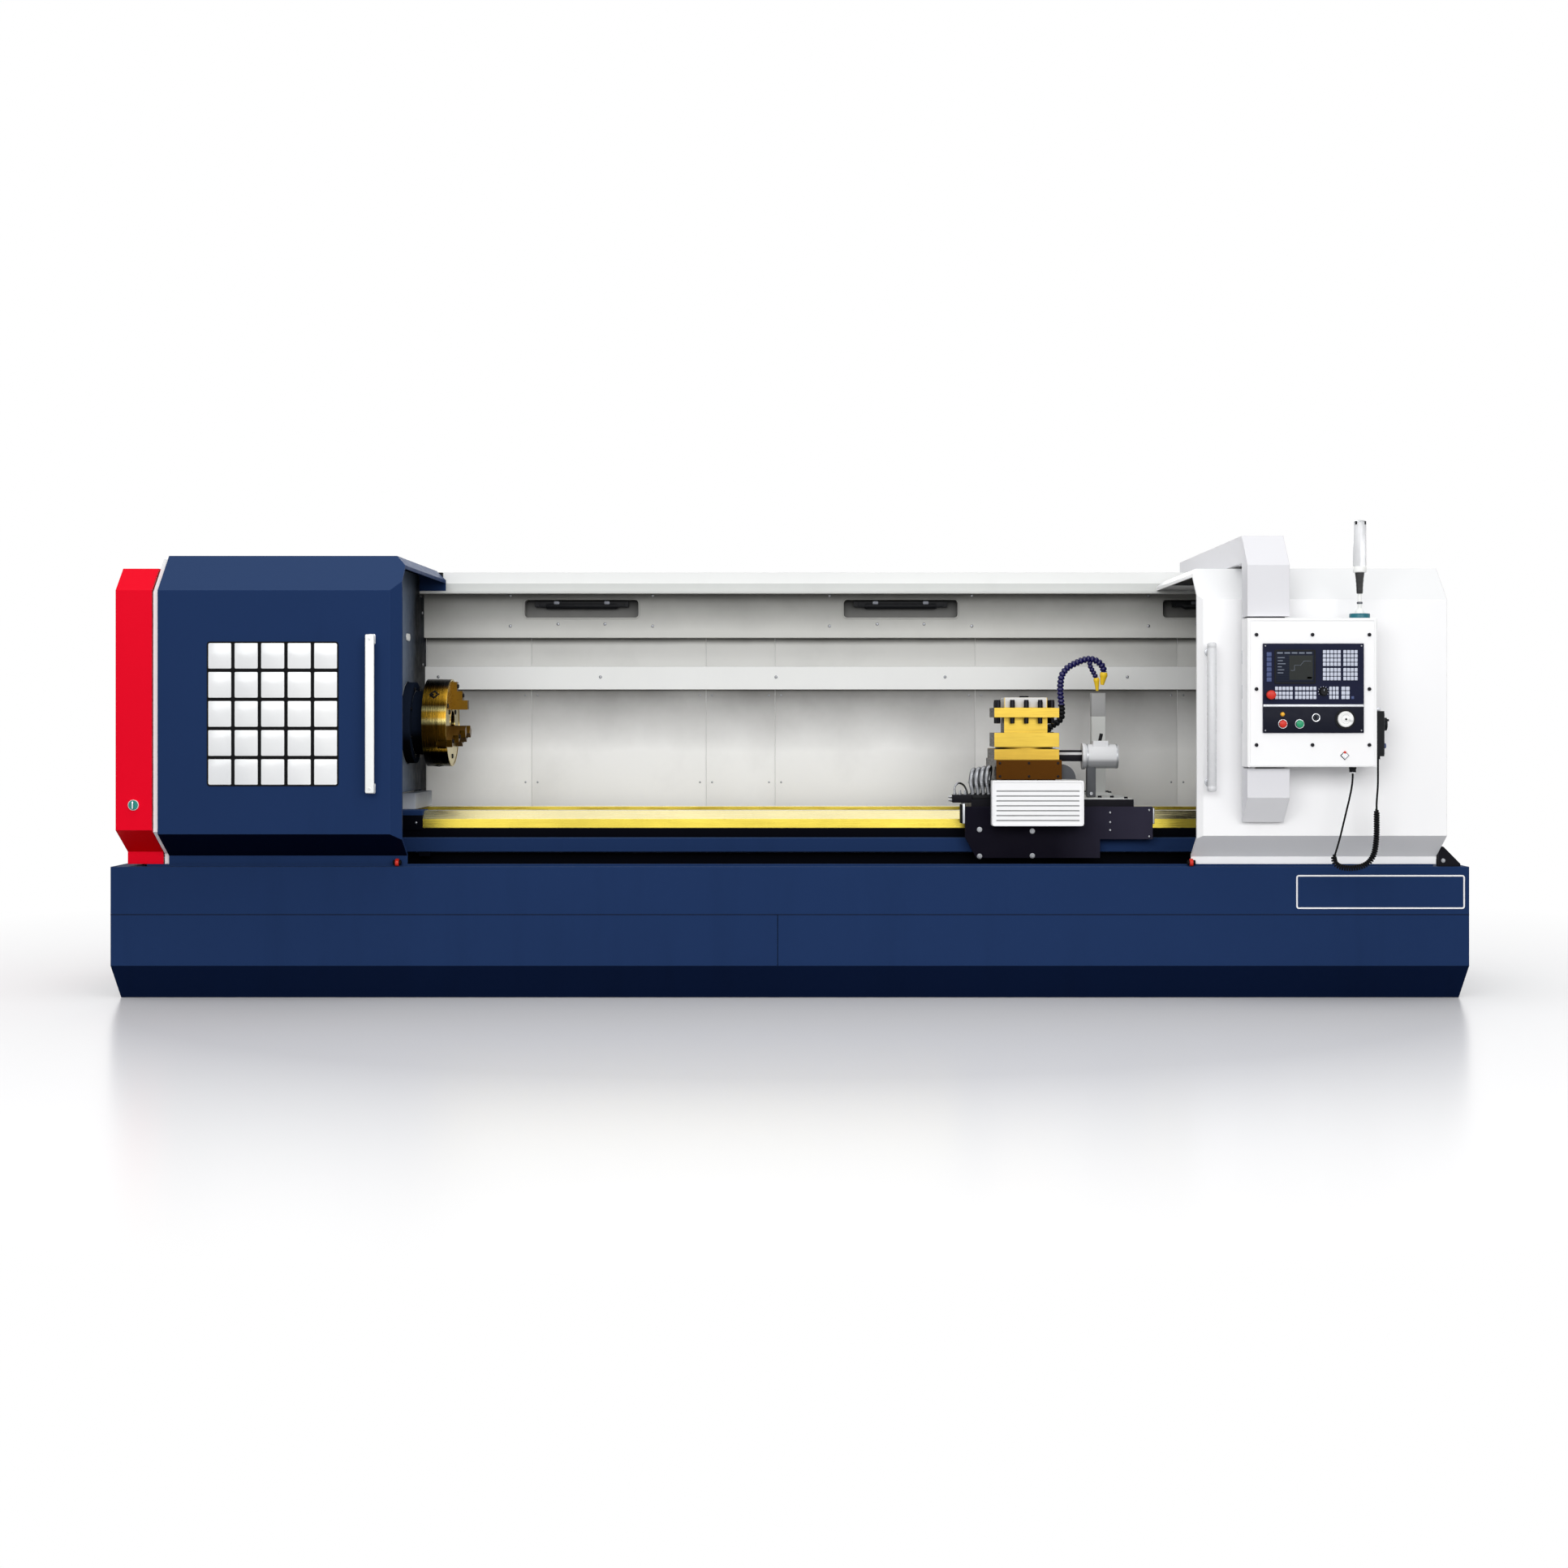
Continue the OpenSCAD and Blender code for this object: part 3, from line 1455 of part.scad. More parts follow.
module green_button() {
    color([0.1, 0.6, 0.4])
        control(green_at, button_r, 7, button_travel);
}

module red_button() {
    color([0.8, 0.1, 0.1])
        control(red_at, button_r, 7, button_travel);
}

module key_switch() {
    x = panel_x0 + key_at.x;
    z = panel_z0 + key_at.y;
    color([0.6, 0.6, 0.62])
        union() {
            control(key_at, key_r, 8, turn_gap);
            block(x - 3, x + 3, panel_front - 26, panel_front - 8, z - 9, z + 9);
        }
}

module panel_handwheel() {
    x = panel_x0 + wheel_at.x;
    z = panel_z0 + wheel_at.y;
    color([0.95, 0.95, 0.93])
        union() {
            control(wheel_at, wheel_r, 16, turn_gap);
            bar_y(6, panel_front - 32, panel_front - 15, x + wheel_r * 0.62, z);
        }
}

module feed_knob() {
    x = panel_x0 + knob_at.x;
    z = panel_z0 + knob_at.y;
    color([0.1, 0.1, 0.12])
        union() {
            control(knob_at, knob_r, 14, turn_gap);
            block(x - 2, x + 2, panel_front - 17, panel_front - 14, z, z + knob_r - 2);
        }
}

handset_z = box_z + 45;
handset_d = 72;
handset_w = 38;

module mpg_handset() {
    dial_z = handset_z + 138;
    relief_r = 9;
    tip = lead_out[len(lead_out) - 1];
    color([0.1, 0.1, 0.12])
        difference() {
            union() {
                block(box_x1, box_x1 + handset_w, cord_y - handset_d / 2, cord_y + handset_d / 2, handset_z,
                    handset_z + handset_h);
                bar_z(relief_r, tip.y, handset_z + 1, tip.x, cord_y);
            }
            bar_x(shaft_r + run, box_x1 + handset_w - shaft_l - 2, box_x1 + handset_w + 1, cord_y, dial_z);
        }
}

module mpg_dial() {
    dial_z = handset_z + 138;
    face = box_x1 + handset_w;
    color([0.2, 0.2, 0.22])
        union() {
            bar_x(dial_r, face + turn_gap, face + 17, cord_y, dial_z);
            bar_x(5, face + 16, face + 28, cord_y, dial_z + dial_r * 0.6);
            bar_x(shaft_r, face - shaft_l, face + 1, cord_y, dial_z);
        }
}

module cord_leads() {
    color([0.08, 0.08, 0.09]) {
        swept_tube(lead_in, cord_y, cord_r, 8);
        swept_tube(lead_out, cord_y, cord_r, 8);
    }
}

module cord_curl() {
    color([0.08, 0.08, 0.09])
        swept_tube(curl_path, cord_y, curl_r, 12);
}

module beacon() {
    x = box_x0 + 494;
    base_r = 44;
    collar_z = 196;
    color([0.85, 0.86, 0.88])
        translate([x, pivot_y, box_top])
            rotate_extrude()
                polygon([[0, 0], [base_r, 0], [base_r, 20], [20, 24], [16, 38], [7, 40], [7, 62], [11, 64],
                    [11, 70], [7, 72], [7, 106], [13, 108], [21, collar_z], [beacon_r, collar_z + 2],
                    [beacon_r, collar_z + 27 + beacon_l - 4], [beacon_r - 4, collar_z + 27 + beacon_l],
                    [0, collar_z + 27 + beacon_l]]);
}

bed();
plinth();
skirt_panels();
chip_tray();
guideways();
headstock();
end_frame();
chuck_wall();
spindle_motor();
drive_belts();
rear_guard();
light_box();
work_lamps();
door_rail();
electrical_cabinet();
screw_cover();
z_servo_motor();
pendant_arm();
spindle();
spindle_pulley();
chuck_body();
chuck_jaw_1();
chuck_jaw_2();
chuck_jaw_3();
motor_pulley();
end_cover();
end_cover_lock();
left_door();
window_pane();
window_grid();
left_handle();
right_door();
right_handle();
ball_screw();
saddle();
apron();
coolant_post();
carriage_conduits();
motor_cover();
cross_slide();
turret_base();
turret_motor();
coolant_hoses();
turret_head();
tailstock();
quill();
tailstock_handwheel();
control_box();
cnc_panel();
emergency_stop();
green_button();
red_button();
key_switch();
panel_handwheel();
feed_knob();
mpg_handset();
mpg_dial();
cord_leads();
cord_curl();
beacon();
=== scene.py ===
"""Looks of a flat-bed CNC turning lathe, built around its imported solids."""

import math
from itertools import product

import bmesh
import bpy
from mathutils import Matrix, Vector


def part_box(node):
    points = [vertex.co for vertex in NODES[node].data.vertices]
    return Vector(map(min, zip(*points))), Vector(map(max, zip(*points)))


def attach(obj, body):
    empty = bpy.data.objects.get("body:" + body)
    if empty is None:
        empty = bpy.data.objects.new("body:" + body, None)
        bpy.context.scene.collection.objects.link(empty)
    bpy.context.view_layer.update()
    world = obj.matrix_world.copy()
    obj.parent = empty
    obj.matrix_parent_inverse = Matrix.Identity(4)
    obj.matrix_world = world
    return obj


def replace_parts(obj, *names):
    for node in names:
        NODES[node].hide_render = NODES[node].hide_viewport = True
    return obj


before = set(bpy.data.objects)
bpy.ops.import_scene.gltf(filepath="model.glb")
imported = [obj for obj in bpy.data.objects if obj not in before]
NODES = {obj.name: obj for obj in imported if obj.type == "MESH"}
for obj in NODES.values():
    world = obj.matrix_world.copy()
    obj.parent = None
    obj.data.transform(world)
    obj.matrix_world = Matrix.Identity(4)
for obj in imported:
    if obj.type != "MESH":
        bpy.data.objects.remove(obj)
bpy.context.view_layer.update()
scene = bpy.context.scene
TAU = 2 * math.pi
FRONT = (0, -1, 0)
REAR = (0, 1, 0)
LEFT = (-1, 0, 0)
RIGHT = (1, 0, 0)
UP = (0, 0, 1)
DOWN = (0, 0, -1)


# Faces and axes of the solids that the details stand on

def low(node, axis):
    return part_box(node)[0]["xyz".index(axis)]


def high(node, axis):
    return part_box(node)[1]["xyz".index(axis)]


def middle(node, axis):
    """Middle of a solid, to a tenth of a millimetre, because the facets of round ones aren't even."""
    return round((low(node, axis) + high(node, axis)) / 2, 4)


BASE_LEFT = low("chip_tray", "x")
BASE_RIGHT = high("chip_tray", "x")
BASE_FRONT = low("chip_tray", "y")
BASE_REAR = high("chip_tray", "y")
BASE_SEAM = low("chip_tray", "z")
DECK = low("rear_guard", "z")
SPINDLE_Y = middle("chuck_body", "y")
SPINDLE_Z = middle("chuck_body", "z")
WALL_X = high("chuck_wall", "x")
CHUCK_X = high("chuck_body", "x")
DOOR_Y = low("left_door", "y")
GUARD_Y = high("light_box", "y")
GUARD_BACK = high("rear_guard", "y")
LIGHT_Y = low("light_box", "y")
END_X = high("rear_guard", "x")
APRON_Y = low("apron", "y")
SADDLE_Z = low("coolant_post", "z")
TURRET_X = middle("turret_head", "x")
TURRET_Y = middle("turret_head", "y")
BOX_Y = low("control_box", "y")
BOX_BACK = high("control_box", "y")
PANEL_Y = low("cnc_panel", "y")
CABINET_Y = high("electrical_cabinet", "y")


# Camera at the photograph's place

def make_camera():
    data = bpy.data.cameras.new("camera")
    data.sensor_width = 36.0
    data.lens = 53.03
    data.shift_x = -0.0228
    data.shift_y = -0.0419
    camera = bpy.data.objects.new("camera", data)
    camera.location = (0.132, -11.125, 1.236)
    camera.rotation_euler = (math.pi / 2, 0, 0)
    scene.collection.objects.link(camera)
    scene.camera = camera


make_camera()


# Materials, with their colours in 8-bit sRGB

M = {}


def linear(rgb, share=1.0):
    """Linear colour of an 8-bit sRGB colour: lighter for a share over 1, and darker under 1."""
    parts = [c / 255 for c in rgb]
    parts = [c / 12.92 if c <= 0.04045 else ((c + 0.055) / 1.055) ** 2.4 for c in parts]
    return tuple(min(1.0, c * share) for c in parts)


class Shader:
    """A node material round one Principled shader, kept under its key."""

    def __init__(self, key, **sockets):
        self.material = bpy.data.materials.new(key)
        self.material.use_nodes = True
        self.tree = self.material.node_tree
        self.bsdf = self.tree.nodes["Principled BSDF"]
        self.place = self.node("ShaderNodeTexCoord").outputs["Object"]
        for name, value in sockets.items():
            self.bsdf.inputs[name.replace("_", " ")].default_value = value
        M[key] = self.material

    def node(self, kind, settings=None, **inputs):
        made = self.tree.nodes.new(kind)
        for key, value in (settings or {}).items():
            setattr(made, key, value)
        for key, value in inputs.items():
            self.put(made.inputs[key.replace("_", " ")], value)
        return made

    def put(self, socket, value):
        if isinstance(value, bpy.types.NodeSocket):
            self.tree.links.new(value, socket)
        else:
            socket.default_value = value

    def noise(self, scale, stretch=(1, 1, 1), detail=3.0):
        where = self.node("ShaderNodeMapping", Vector=self.place, Scale=stretch).outputs[0]
        made = self.node("ShaderNodeTexNoise", Vector=where, Scale=scale, Detail=detail, Roughness=0.55)
        return made.outputs[0]

    def spread(self, value, low, high, from_low=0.3, from_high=0.7):
        made = self.node("ShaderNodeMapRange", Value=value, From_Min=from_low, From_Max=from_high,
                         To_Min=low, To_Max=high)
        return made.outputs[0]

    def mix(self, share, a, b):
        made = self.node("ShaderNodeMix", {"data_type": "RGBA"})
        self.put(made.inputs[0], share)
        for socket, value in ((made.inputs[6], a), (made.inputs[7], b)):
            self.put(socket, value if isinstance(value, bpy.types.NodeSocket) else (*value, 1.0))
        return made.outputs[2]

    def math(self, operation, a, b):
        made = self.node("ShaderNodeMath", {"operation": operation})
        self.put(made.inputs[0], a)
        self.put(made.inputs[1], b)
        return made.outputs[0]

    def mottled(self, rgb, depth, marks):
        """Colour that wanders by a share about its tone."""
        return self.mix(self.spread(marks, 0.0, 1.0), linear(rgb, 1 - depth), linear(rgb, 1 + depth))

    def facing(self, low, high, axis="Z"):
        """Share from 0 to 1 as a face's normal turns along an axis."""
        flat = self.node("ShaderNodeNewGeometry").outputs["Normal"]
        return self.spread(self.node("ShaderNodeSeparateXYZ", Vector=flat).outputs[axis], 0.0, 1.0, low, high)

    def rounded(self, radius):
        """Normal of edges rounded by a radius, and a mask of those edges."""
        soft = self.node("ShaderNodeBevel", {"samples": 4}, Radius=radius).outputs[0]
        flat = self.node("ShaderNodeNewGeometry").outputs["Normal"]
        dot = self.node("ShaderNodeVectorMath", {"operation": "DOT_PRODUCT"})
        self.put(dot.inputs[0], soft)
        self.put(dot.inputs[1], flat)
        return soft, self.spread(dot.outputs["Value"], 1.0, 0.0, 0.86, 0.995)

    def bump(self, height, strength, distance, normal=None):
        made = self.node("ShaderNodeBump", Height=height, Strength=strength, Distance=distance)
        if normal is not None:
            self.put(made.inputs["Normal"], normal)
        self.put(self.bsdf.inputs["Normal"], made.outputs[0])

    def colour(self, value):
        self.put(self.bsdf.inputs["Base Color"], value)

    def roughness(self, value):
        self.put(self.bsdf.inputs["Roughness"], value)


def paint(key, rgb, rough=0.42, mottle=0.05, edge=None, edge_share=0.5, peel=0.12, gloss=0.3, grime=0.0,
          under=None, over=None):
    """Powder coat: mottling, orange peel, rounded edges lightened as wear and as a painted highlight, and an
    under and an over colour, painted shade and painted light on faces that look down and up.
    """
    s = Shader(key, Specular_IOR_Level=gloss)
    base = s.mottled(rgb, mottle, s.noise(1.3, detail=5))
    if grime:
        streak = s.noise(7.0, (1, 1, 0.12), detail=6)
        base = s.mix(s.spread(streak, 0.0, grime, 0.5, 0.75), base, linear(rgb, 0.55))
    # Painted shade and light: the under colour goes on faces that look down, the over colour on faces that
    # look up.
    if under:
        base = s.mix(s.facing(-0.2, -0.45), base, linear(under))
    if over:
        base = s.mix(s.facing(0.4, 0.7), base, linear(over))
    # Lighter rounded edges: wear broken up by noise, and a painted highlight.
    soft, mask = s.rounded(0.004)
    wear_and_highlight = s.math("MULTIPLY", mask, s.spread(s.noise(60.0), edge_share * 0.5, edge_share))
    s.colour(s.mix(wear_and_highlight, base, linear(edge) if edge else linear(rgb, 1.5)))
    s.roughness(s.spread(s.noise(24.0, detail=4), rough - 0.05, rough + 0.07))
    s.bump(s.noise(520.0, detail=1), peel, 0.0006, soft)


def metal(key, rgb, rough=0.3, brush=(1, 1, 1), grain=220.0, mottle=0.07, round_edge=0.002, strength=0.12,
          edge=1.25, top=None, side=None):
    """Machined metal: tool marks along one direction, edges lightened as wear and as a painted highlight, a
    painted reflection on tops and painted shade on sides that look left.
    """
    s = Shader(key, Metallic=1.0)
    marks = s.noise(grain, brush, detail=4)
    patch = s.noise(3.0, detail=4)
    base = s.mottled(rgb, mottle, patch)
    base = s.mix(s.spread(marks, 0.0, 0.35), base, linear(rgb, 0.72))
    # A lighter colour on faces that look up: painted reflection.
    if top:
        base = s.mix(s.math("MULTIPLY", s.facing(0.6, 0.95), s.spread(marks, 1.0, 0.88)), base, linear(top))
    # A darker colour on faces that look left: painted shade.
    if side:
        base = s.mix(s.facing(-0.5, -0.9, "X"), base, linear(side))
    # Lighter rounded edges: wear and a painted highlight.
    soft, mask = s.rounded(round_edge)
    s.colour(s.mix(s.math("MULTIPLY", mask, 0.6), base, linear(rgb, edge)))
    s.roughness(s.math("ADD", s.spread(marks, rough - 0.06, rough + 0.1), s.spread(patch, -0.03, 0.05)))
    s.bump(marks, strength, 0.0004, soft)


def plastic(key, rgb, rough=0.4, grain=900.0, round_edge=0.0015, strength=0.1, mottle=0.05, gloss=0.3,
            **sockets):
    """Moulded plastic: fine grain, slight variation and rounded edges."""
    s = Shader(key, Specular_IOR_Level=gloss, **sockets)
    soft, mask = s.rounded(round_edge)
    base = s.mottled(rgb, mottle, s.noise(9.0, detail=4))
    # Lighter rounded edges: a painted highlight.
    s.colour(s.mix(s.math("MULTIPLY", mask, 0.35), base, linear(rgb, 1.45)))
    s.roughness(s.spread(s.noise(40.0), rough - 0.05, rough + 0.08))
    s.bump(s.noise(grain, detail=2), strength, 0.0003, soft)


def graded(key, low_rgb, high_rgb, axis, low, high, gloss=0.15):
    """Paint whose colour runs from one end of a panel to the other: painted shade on the guard's sheets, the
    lamp pockets and the wall behind the chuck, only a fall in tone on the apron and the wall's foot block,
    and a painted highlight on rounded edges.
    """
    s = Shader(key, Specular_IOR_Level=gloss)
    along = s.node("ShaderNodeSeparateXYZ", Vector=s.place).outputs[axis]
    share = s.spread(along, 0.0, 1.0, low, high)
    blotch = s.math("ADD", share, s.spread(s.noise(3.0, detail=6), -0.08, 0.08))
    soft, mask = s.rounded(0.004)
    base = s.mix(blotch, linear(low_rgb), linear(high_rgb))
    # Lighter rounded edges: a painted highlight.
    s.colour(s.mix(s.math("MULTIPLY", mask, 0.3), base, linear(high_rgb, 1.2)))
    s.roughness(s.spread(s.noise(20.0), 0.4, 0.55))
    s.bump(s.noise(420.0, detail=1), 0.1, 0.0006, soft)


# Tones of the chuck's painted reflection: bands laid by the slope of each face stand in for a polished
# chuck's reflections, with painted shade at the top and bottom.
REFLECTED_DARK = (10, 7, 3)
BROWN = (96, 66, 14)
BRASS = (196, 150, 46)
PALE = (248, 230, 150)
CHUCK_REFLECTION_BANDS = (
    (0.0, REFLECTED_DARK), (0.17, REFLECTED_DARK), (0.195, BRASS), (0.23, BROWN), (0.33, BROWN), (0.47, BROWN), (0.52, PALE),
    (0.56, BRASS), (0.62, BRASS), (0.65, PALE), (0.7, BROWN), (0.78, BRASS), (0.87, BRASS), (0.9, BROWN),
    (0.93, REFLECTED_DARK))


def turned_metal(key, reflection_bands):
    """Polished turned work: painted reflection bands whose tone goes with the slope of the face, a painted
    highlight on rounded edges, and fine marks that run round it.
    """
    s = Shader(key, Metallic=1.0)
    ramp = s.node("ShaderNodeValToRGB", Fac=s.facing(-1.0, 1.0))
    bands = ramp.color_ramp.elements
    bands.remove(bands[1])
    bands[0].position = reflection_bands[0][0]
    bands[0].color = (*linear(reflection_bands[0][1]), 1.0)
    for place, rgb in reflection_bands[1:]:
        bands.new(place).color = (*linear(rgb), 1.0)
    marks = s.noise(260.0, (1, 0.03, 0.03), detail=3)
    soft, mask = s.rounded(0.002)
    base = s.mix(s.spread(marks, 0.0, 0.05), ramp.outputs[0], linear((40, 30, 16)))
    # Lighter rounded edges: a painted highlight.
    s.colour(s.mix(s.math("MULTIPLY", mask, 0.25), base, linear(PALE)))
    s.roughness(s.spread(marks, 0.18, 0.3))
    s.bump(marks, 0.015, 0.0003, soft)


def display(key):
    """Dark display: faint lines and a dull gloss from its cover."""
    s = Shader(key, Roughness=0.15, Specular_IOR_Level=0.06)
    lines = s.node("ShaderNodeTexWave", {"bands_direction": "Z"}, Vector=s.place, Scale=30.0).outputs["Fac"]
    s.colour(s.mix(s.math("MULTIPLY", lines, 0.3), linear((18, 24, 40)), linear((34, 42, 60))))
    s.bump(s.noise(60.0), 0.01, 0.0002)


def polycarbonate(key):
    """White window seen from outside: a soft fall of light over each pane."""
    s = Shader(key, Specular_IOR_Level=0.5, Coat_Weight=0.4, Coat_Roughness=0.08)
    cloud = s.spread(s.noise(2.2, detail=2), 0.0, 1.0)
    s.colour(s.mix(cloud, linear((224, 226, 228)), linear((241, 242, 242))))
    s.roughness(s.spread(s.noise(30.0), 0.14, 0.24))
    s.bump(s.noise(5.0, detail=1), 0.05, 0.002)


# navy: under is painted shade on faces that look down, over painted light on faces that look up.
paint("navy", (33, 53, 92), edge=(62, 84, 124), grime=0.15, gloss=0.004, mottle=0.03, under=(4, 9, 28),
      over=(47, 66, 102))
paint("dark_navy", (6, 19, 46), edge=(24, 42, 78), grime=0.2, gloss=0.03)
# white: under is painted light on faces that look down, over painted shade on faces that look up.
paint("white", (250, 250, 251), rough=0.38, mottle=0.012, edge=(252, 252, 252), gloss=0.2,
      under=(255, 255, 255), over=(235, 236, 237))
# guard_white: over is painted shade on faces that look up.
paint("guard_white", (239, 240, 239), rough=0.4, mottle=0.015, edge=(244, 244, 244), grime=0.04, gloss=0.1,
      over=(226, 227, 226))
paint("light_grey", (206, 208, 206), mottle=0.02, edge=(240, 240, 238), grime=0.06)
# red: under is painted shade on faces that look down.
paint("red", (234, 3, 36), mottle=0.03, edge=(244, 50, 64), edge_share=0.25, gloss=0.05, under=(206, 0, 6))
paint("black", (12, 11, 19), edge=(58, 58, 72), grime=0.1, gloss=0.08)
paint("bed_black", (4, 5, 12), edge=(26, 32, 50), grime=0.2, peel=0.3, gloss=0.02)
paint("motor", (72, 84, 98), edge=(120, 130, 140), peel=0.3)
# motor_case: under is painted shade on faces that look down.
paint("motor_case", (216, 217, 219), edge=(240, 240, 240), peel=0.25, under=(150, 151, 154))
paint("graphite", (74, 76, 80), edge=(120, 122, 126), peel=0.3, gloss=0.2)
# arm: under is painted light on faces that look down.
paint("arm", (225, 225, 229), mottle=0.012, edge=(244, 244, 248), gloss=0.02, under=(248, 248, 250))
paint("crown", (214, 214, 214), mottle=0.02, edge=(246, 246, 246))
paint("post_top", (166, 167, 168), mottle=0.02, edge=(200, 200, 200))
# dark_slot: near black set in louvre openings, vents and the chuck's key holes, painted shade in the
# openings.
paint("dark_slot", (14, 14, 16), gloss=0.05)
# nose: under is painted shade on faces that look down.
paint("nose", (26, 33, 47), edge=(38, 46, 60), edge_share=0.2, gloss=0.0, under=(8, 9, 12))
# wall: painted shade, dark towards the rear guard and lighter towards the front.
graded("wall", (4, 6, 12), (118, 133, 156), "Y", 0.02, -0.42, gloss=0.03)
# apron: darker towards its left end.
graded("apron", (15, 13, 24), (50, 48, 63), "X", 1.2, 1.6, gloss=0.03)
# sheet: painted shade under the duct, darker towards the top.
graded("sheet", (239, 239, 238), (122, 121, 119), "Z", 1.07, 1.39)
# upper_sheet: painted shadow under the light box, dark at the top.
graded("upper_sheet", (214, 214, 211), (64, 63, 60), "Z", 1.597, 1.635)
# lamp_sheet: painted shade under the lip, darker towards the top.
graded("lamp_sheet", (208, 208, 204), (122, 122, 119), "Z", 1.66, 1.83)
# pocket: painted shade in the lamp pockets, dark at the top.
graded("pocket", (112, 112, 110), (10, 10, 10), "Z", 1.745, 1.815)
# foot_grey: darker towards its top.
graded("foot_grey", (186, 190, 197), (112, 117, 126), "Z", 0.815, 0.885)
# gold: top is a painted reflection on faces that look up.
metal("gold", (228, 206, 84), 0.24, (0.02, 1, 1), 240.0, edge=1.1, top=(255, 252, 232))
metal("jaw_gold", (100, 72, 21), 0.3, (0.04, 1, 1), 240.0)
# turret_gold, turret_base and bronze: side is painted shade on faces that look left.
metal("turret_gold", (182, 154, 64), 0.34, (0.05, 0.05, 1), 200.0, 0.16, edge=1.15, side=(34, 28, 18))
metal("turret_base", (180, 148, 60), 0.36, (0.05, 0.05, 1), 200.0, 0.18, side=(34, 28, 18))
metal("bronze", (66, 39, 11), 0.34, (1, 0.04, 1), side=(30, 22, 12))
metal("steel", (196, 198, 200), 0.26, (0.05, 1, 1), 320.0)
metal("bolt", (150, 152, 156), 0.32, grain=500.0, round_edge=0.0006)
metal("black_bolt", (34, 34, 38), 0.42, grain=500.0, round_edge=0.0006)
metal("alu", (170, 172, 176), 0.34, grain=420.0, strength=0.2)
metal("chrome", (226, 228, 232), 0.1, (1, 1, 0.05), 200.0, strength=0.03, mottle=0.02)
metal("dark_iron", (46, 48, 54), 0.34, grain=300.0, strength=0.1)
metal("conduit", (150, 152, 156), 0.26, grain=500.0, strength=0.05, round_edge=0.0006)
metal("cast", (96, 98, 104), 0.42, grain=260.0, strength=0.2)
# chuck_gold: painted reflection bands on the chuck.
turned_metal("chuck_gold", CHUCK_REFLECTION_BANDS)
plastic("rubber", (14, 14, 16), 0.7, 500.0, strength=0.25, gloss=0.08)
plastic("black_plastic", (19, 20, 23), 0.45, gloss=0.12)
plastic("gloss_black", (20, 20, 22), 0.14, strength=0.02, gloss=0.6)
plastic("bars", (9, 11, 22), 0.5, gloss=0.04)
plastic("panel", (22, 26, 50), 0.34, 700.0, gloss=0.06)
plastic("panel_low", (24, 26, 38), 0.36, 700.0, gloss=0.06)
plastic("key_white", (196, 202, 218), 0.42)
plastic("key_blue", (58, 72, 116), 0.42)
plastic("screen_field", (46, 49, 48), 0.2, gloss=0.06)
plastic("screen_line", (122, 130, 144), 0.2, gloss=0.06)
plastic("grip", (214, 215, 217), 0.25, mottle=0.015, round_edge=0.003)
plastic("white_plastic", (242, 243, 241), 0.32, mottle=0.015)
plastic("handle", (246, 248, 246), 0.3, mottle=0.012, round_edge=0.003)
plastic("red_plastic", (205, 42, 26), 0.3)
plastic("green_plastic", (32, 150, 104), 0.3)
plastic("amber", (236, 176, 48), 0.2, strength=0.02)
plastic("teal", (20, 100, 114), 0.3)
plastic("lock_teal", (44, 142, 132), 0.3)
plastic("hose", (15, 12, 78), 0.2, 500.0, strength=0.05, gloss=0.45)
plastic("nozzle", (244, 204, 44), 0.34)
plastic("lens", (238, 239, 241), 0.16, strength=0.02, Transmission_Weight=0.35, IOR=1.46)
plastic("cord", (15, 15, 17), 0.5, 700.0, gloss=0.08)
display("screen")
polycarbonate("pane")


# Mesh pieces

def basis(axis):
    """Two directions across an axis."""
    axis = Vector(axis).normalized()
    side = Vector((0, 0, 1)) if abs(axis.z) < 0.9 else Vector((1, 0, 0))
    u = side.cross(axis).normalized()
    return u, axis.cross(u)


def circle(sides, r):
    return [(r * math.cos(TAU * k / sides), r * math.sin(TAU * k / sides)) for k in range(sides)]


def hexagon(sides, r):
    """Hexagon across corners, with as many points as a circle of the same sides."""
    ring = []
    for k in range(sides):
        a = TAU * k / sides
        share = math.cos(math.pi / 6) / math.cos((a + math.pi / 6) % (math.pi / 3) - math.pi / 6)
        ring.append((r * share * math.cos(a), r * share * math.sin(a)))
    return ring


def round_rect(w, h, r, steps=4):
    """Rectangle with round corners about the origin."""
    ring = []
    for cx, cy, start in ((1, 1, 0), (-1, 1, 1), (-1, -1, 2), (1, -1, 3)):
        for i in range(steps + 1):
            a = (start + i / steps) * math.pi / 2
            ring.append((cx * (w / 2 - r) + r * math.cos(a), cy * (h / 2 - r) + r * math.sin(a)))
    return ring


def lifted(outline, axis, level):
    """A flat outline at a level of one axis; its points are in the other two axes in order."""
    t = "xyz".index(axis)
    return [Vector((*p[:t], level, *p[t:])) for p in outline]


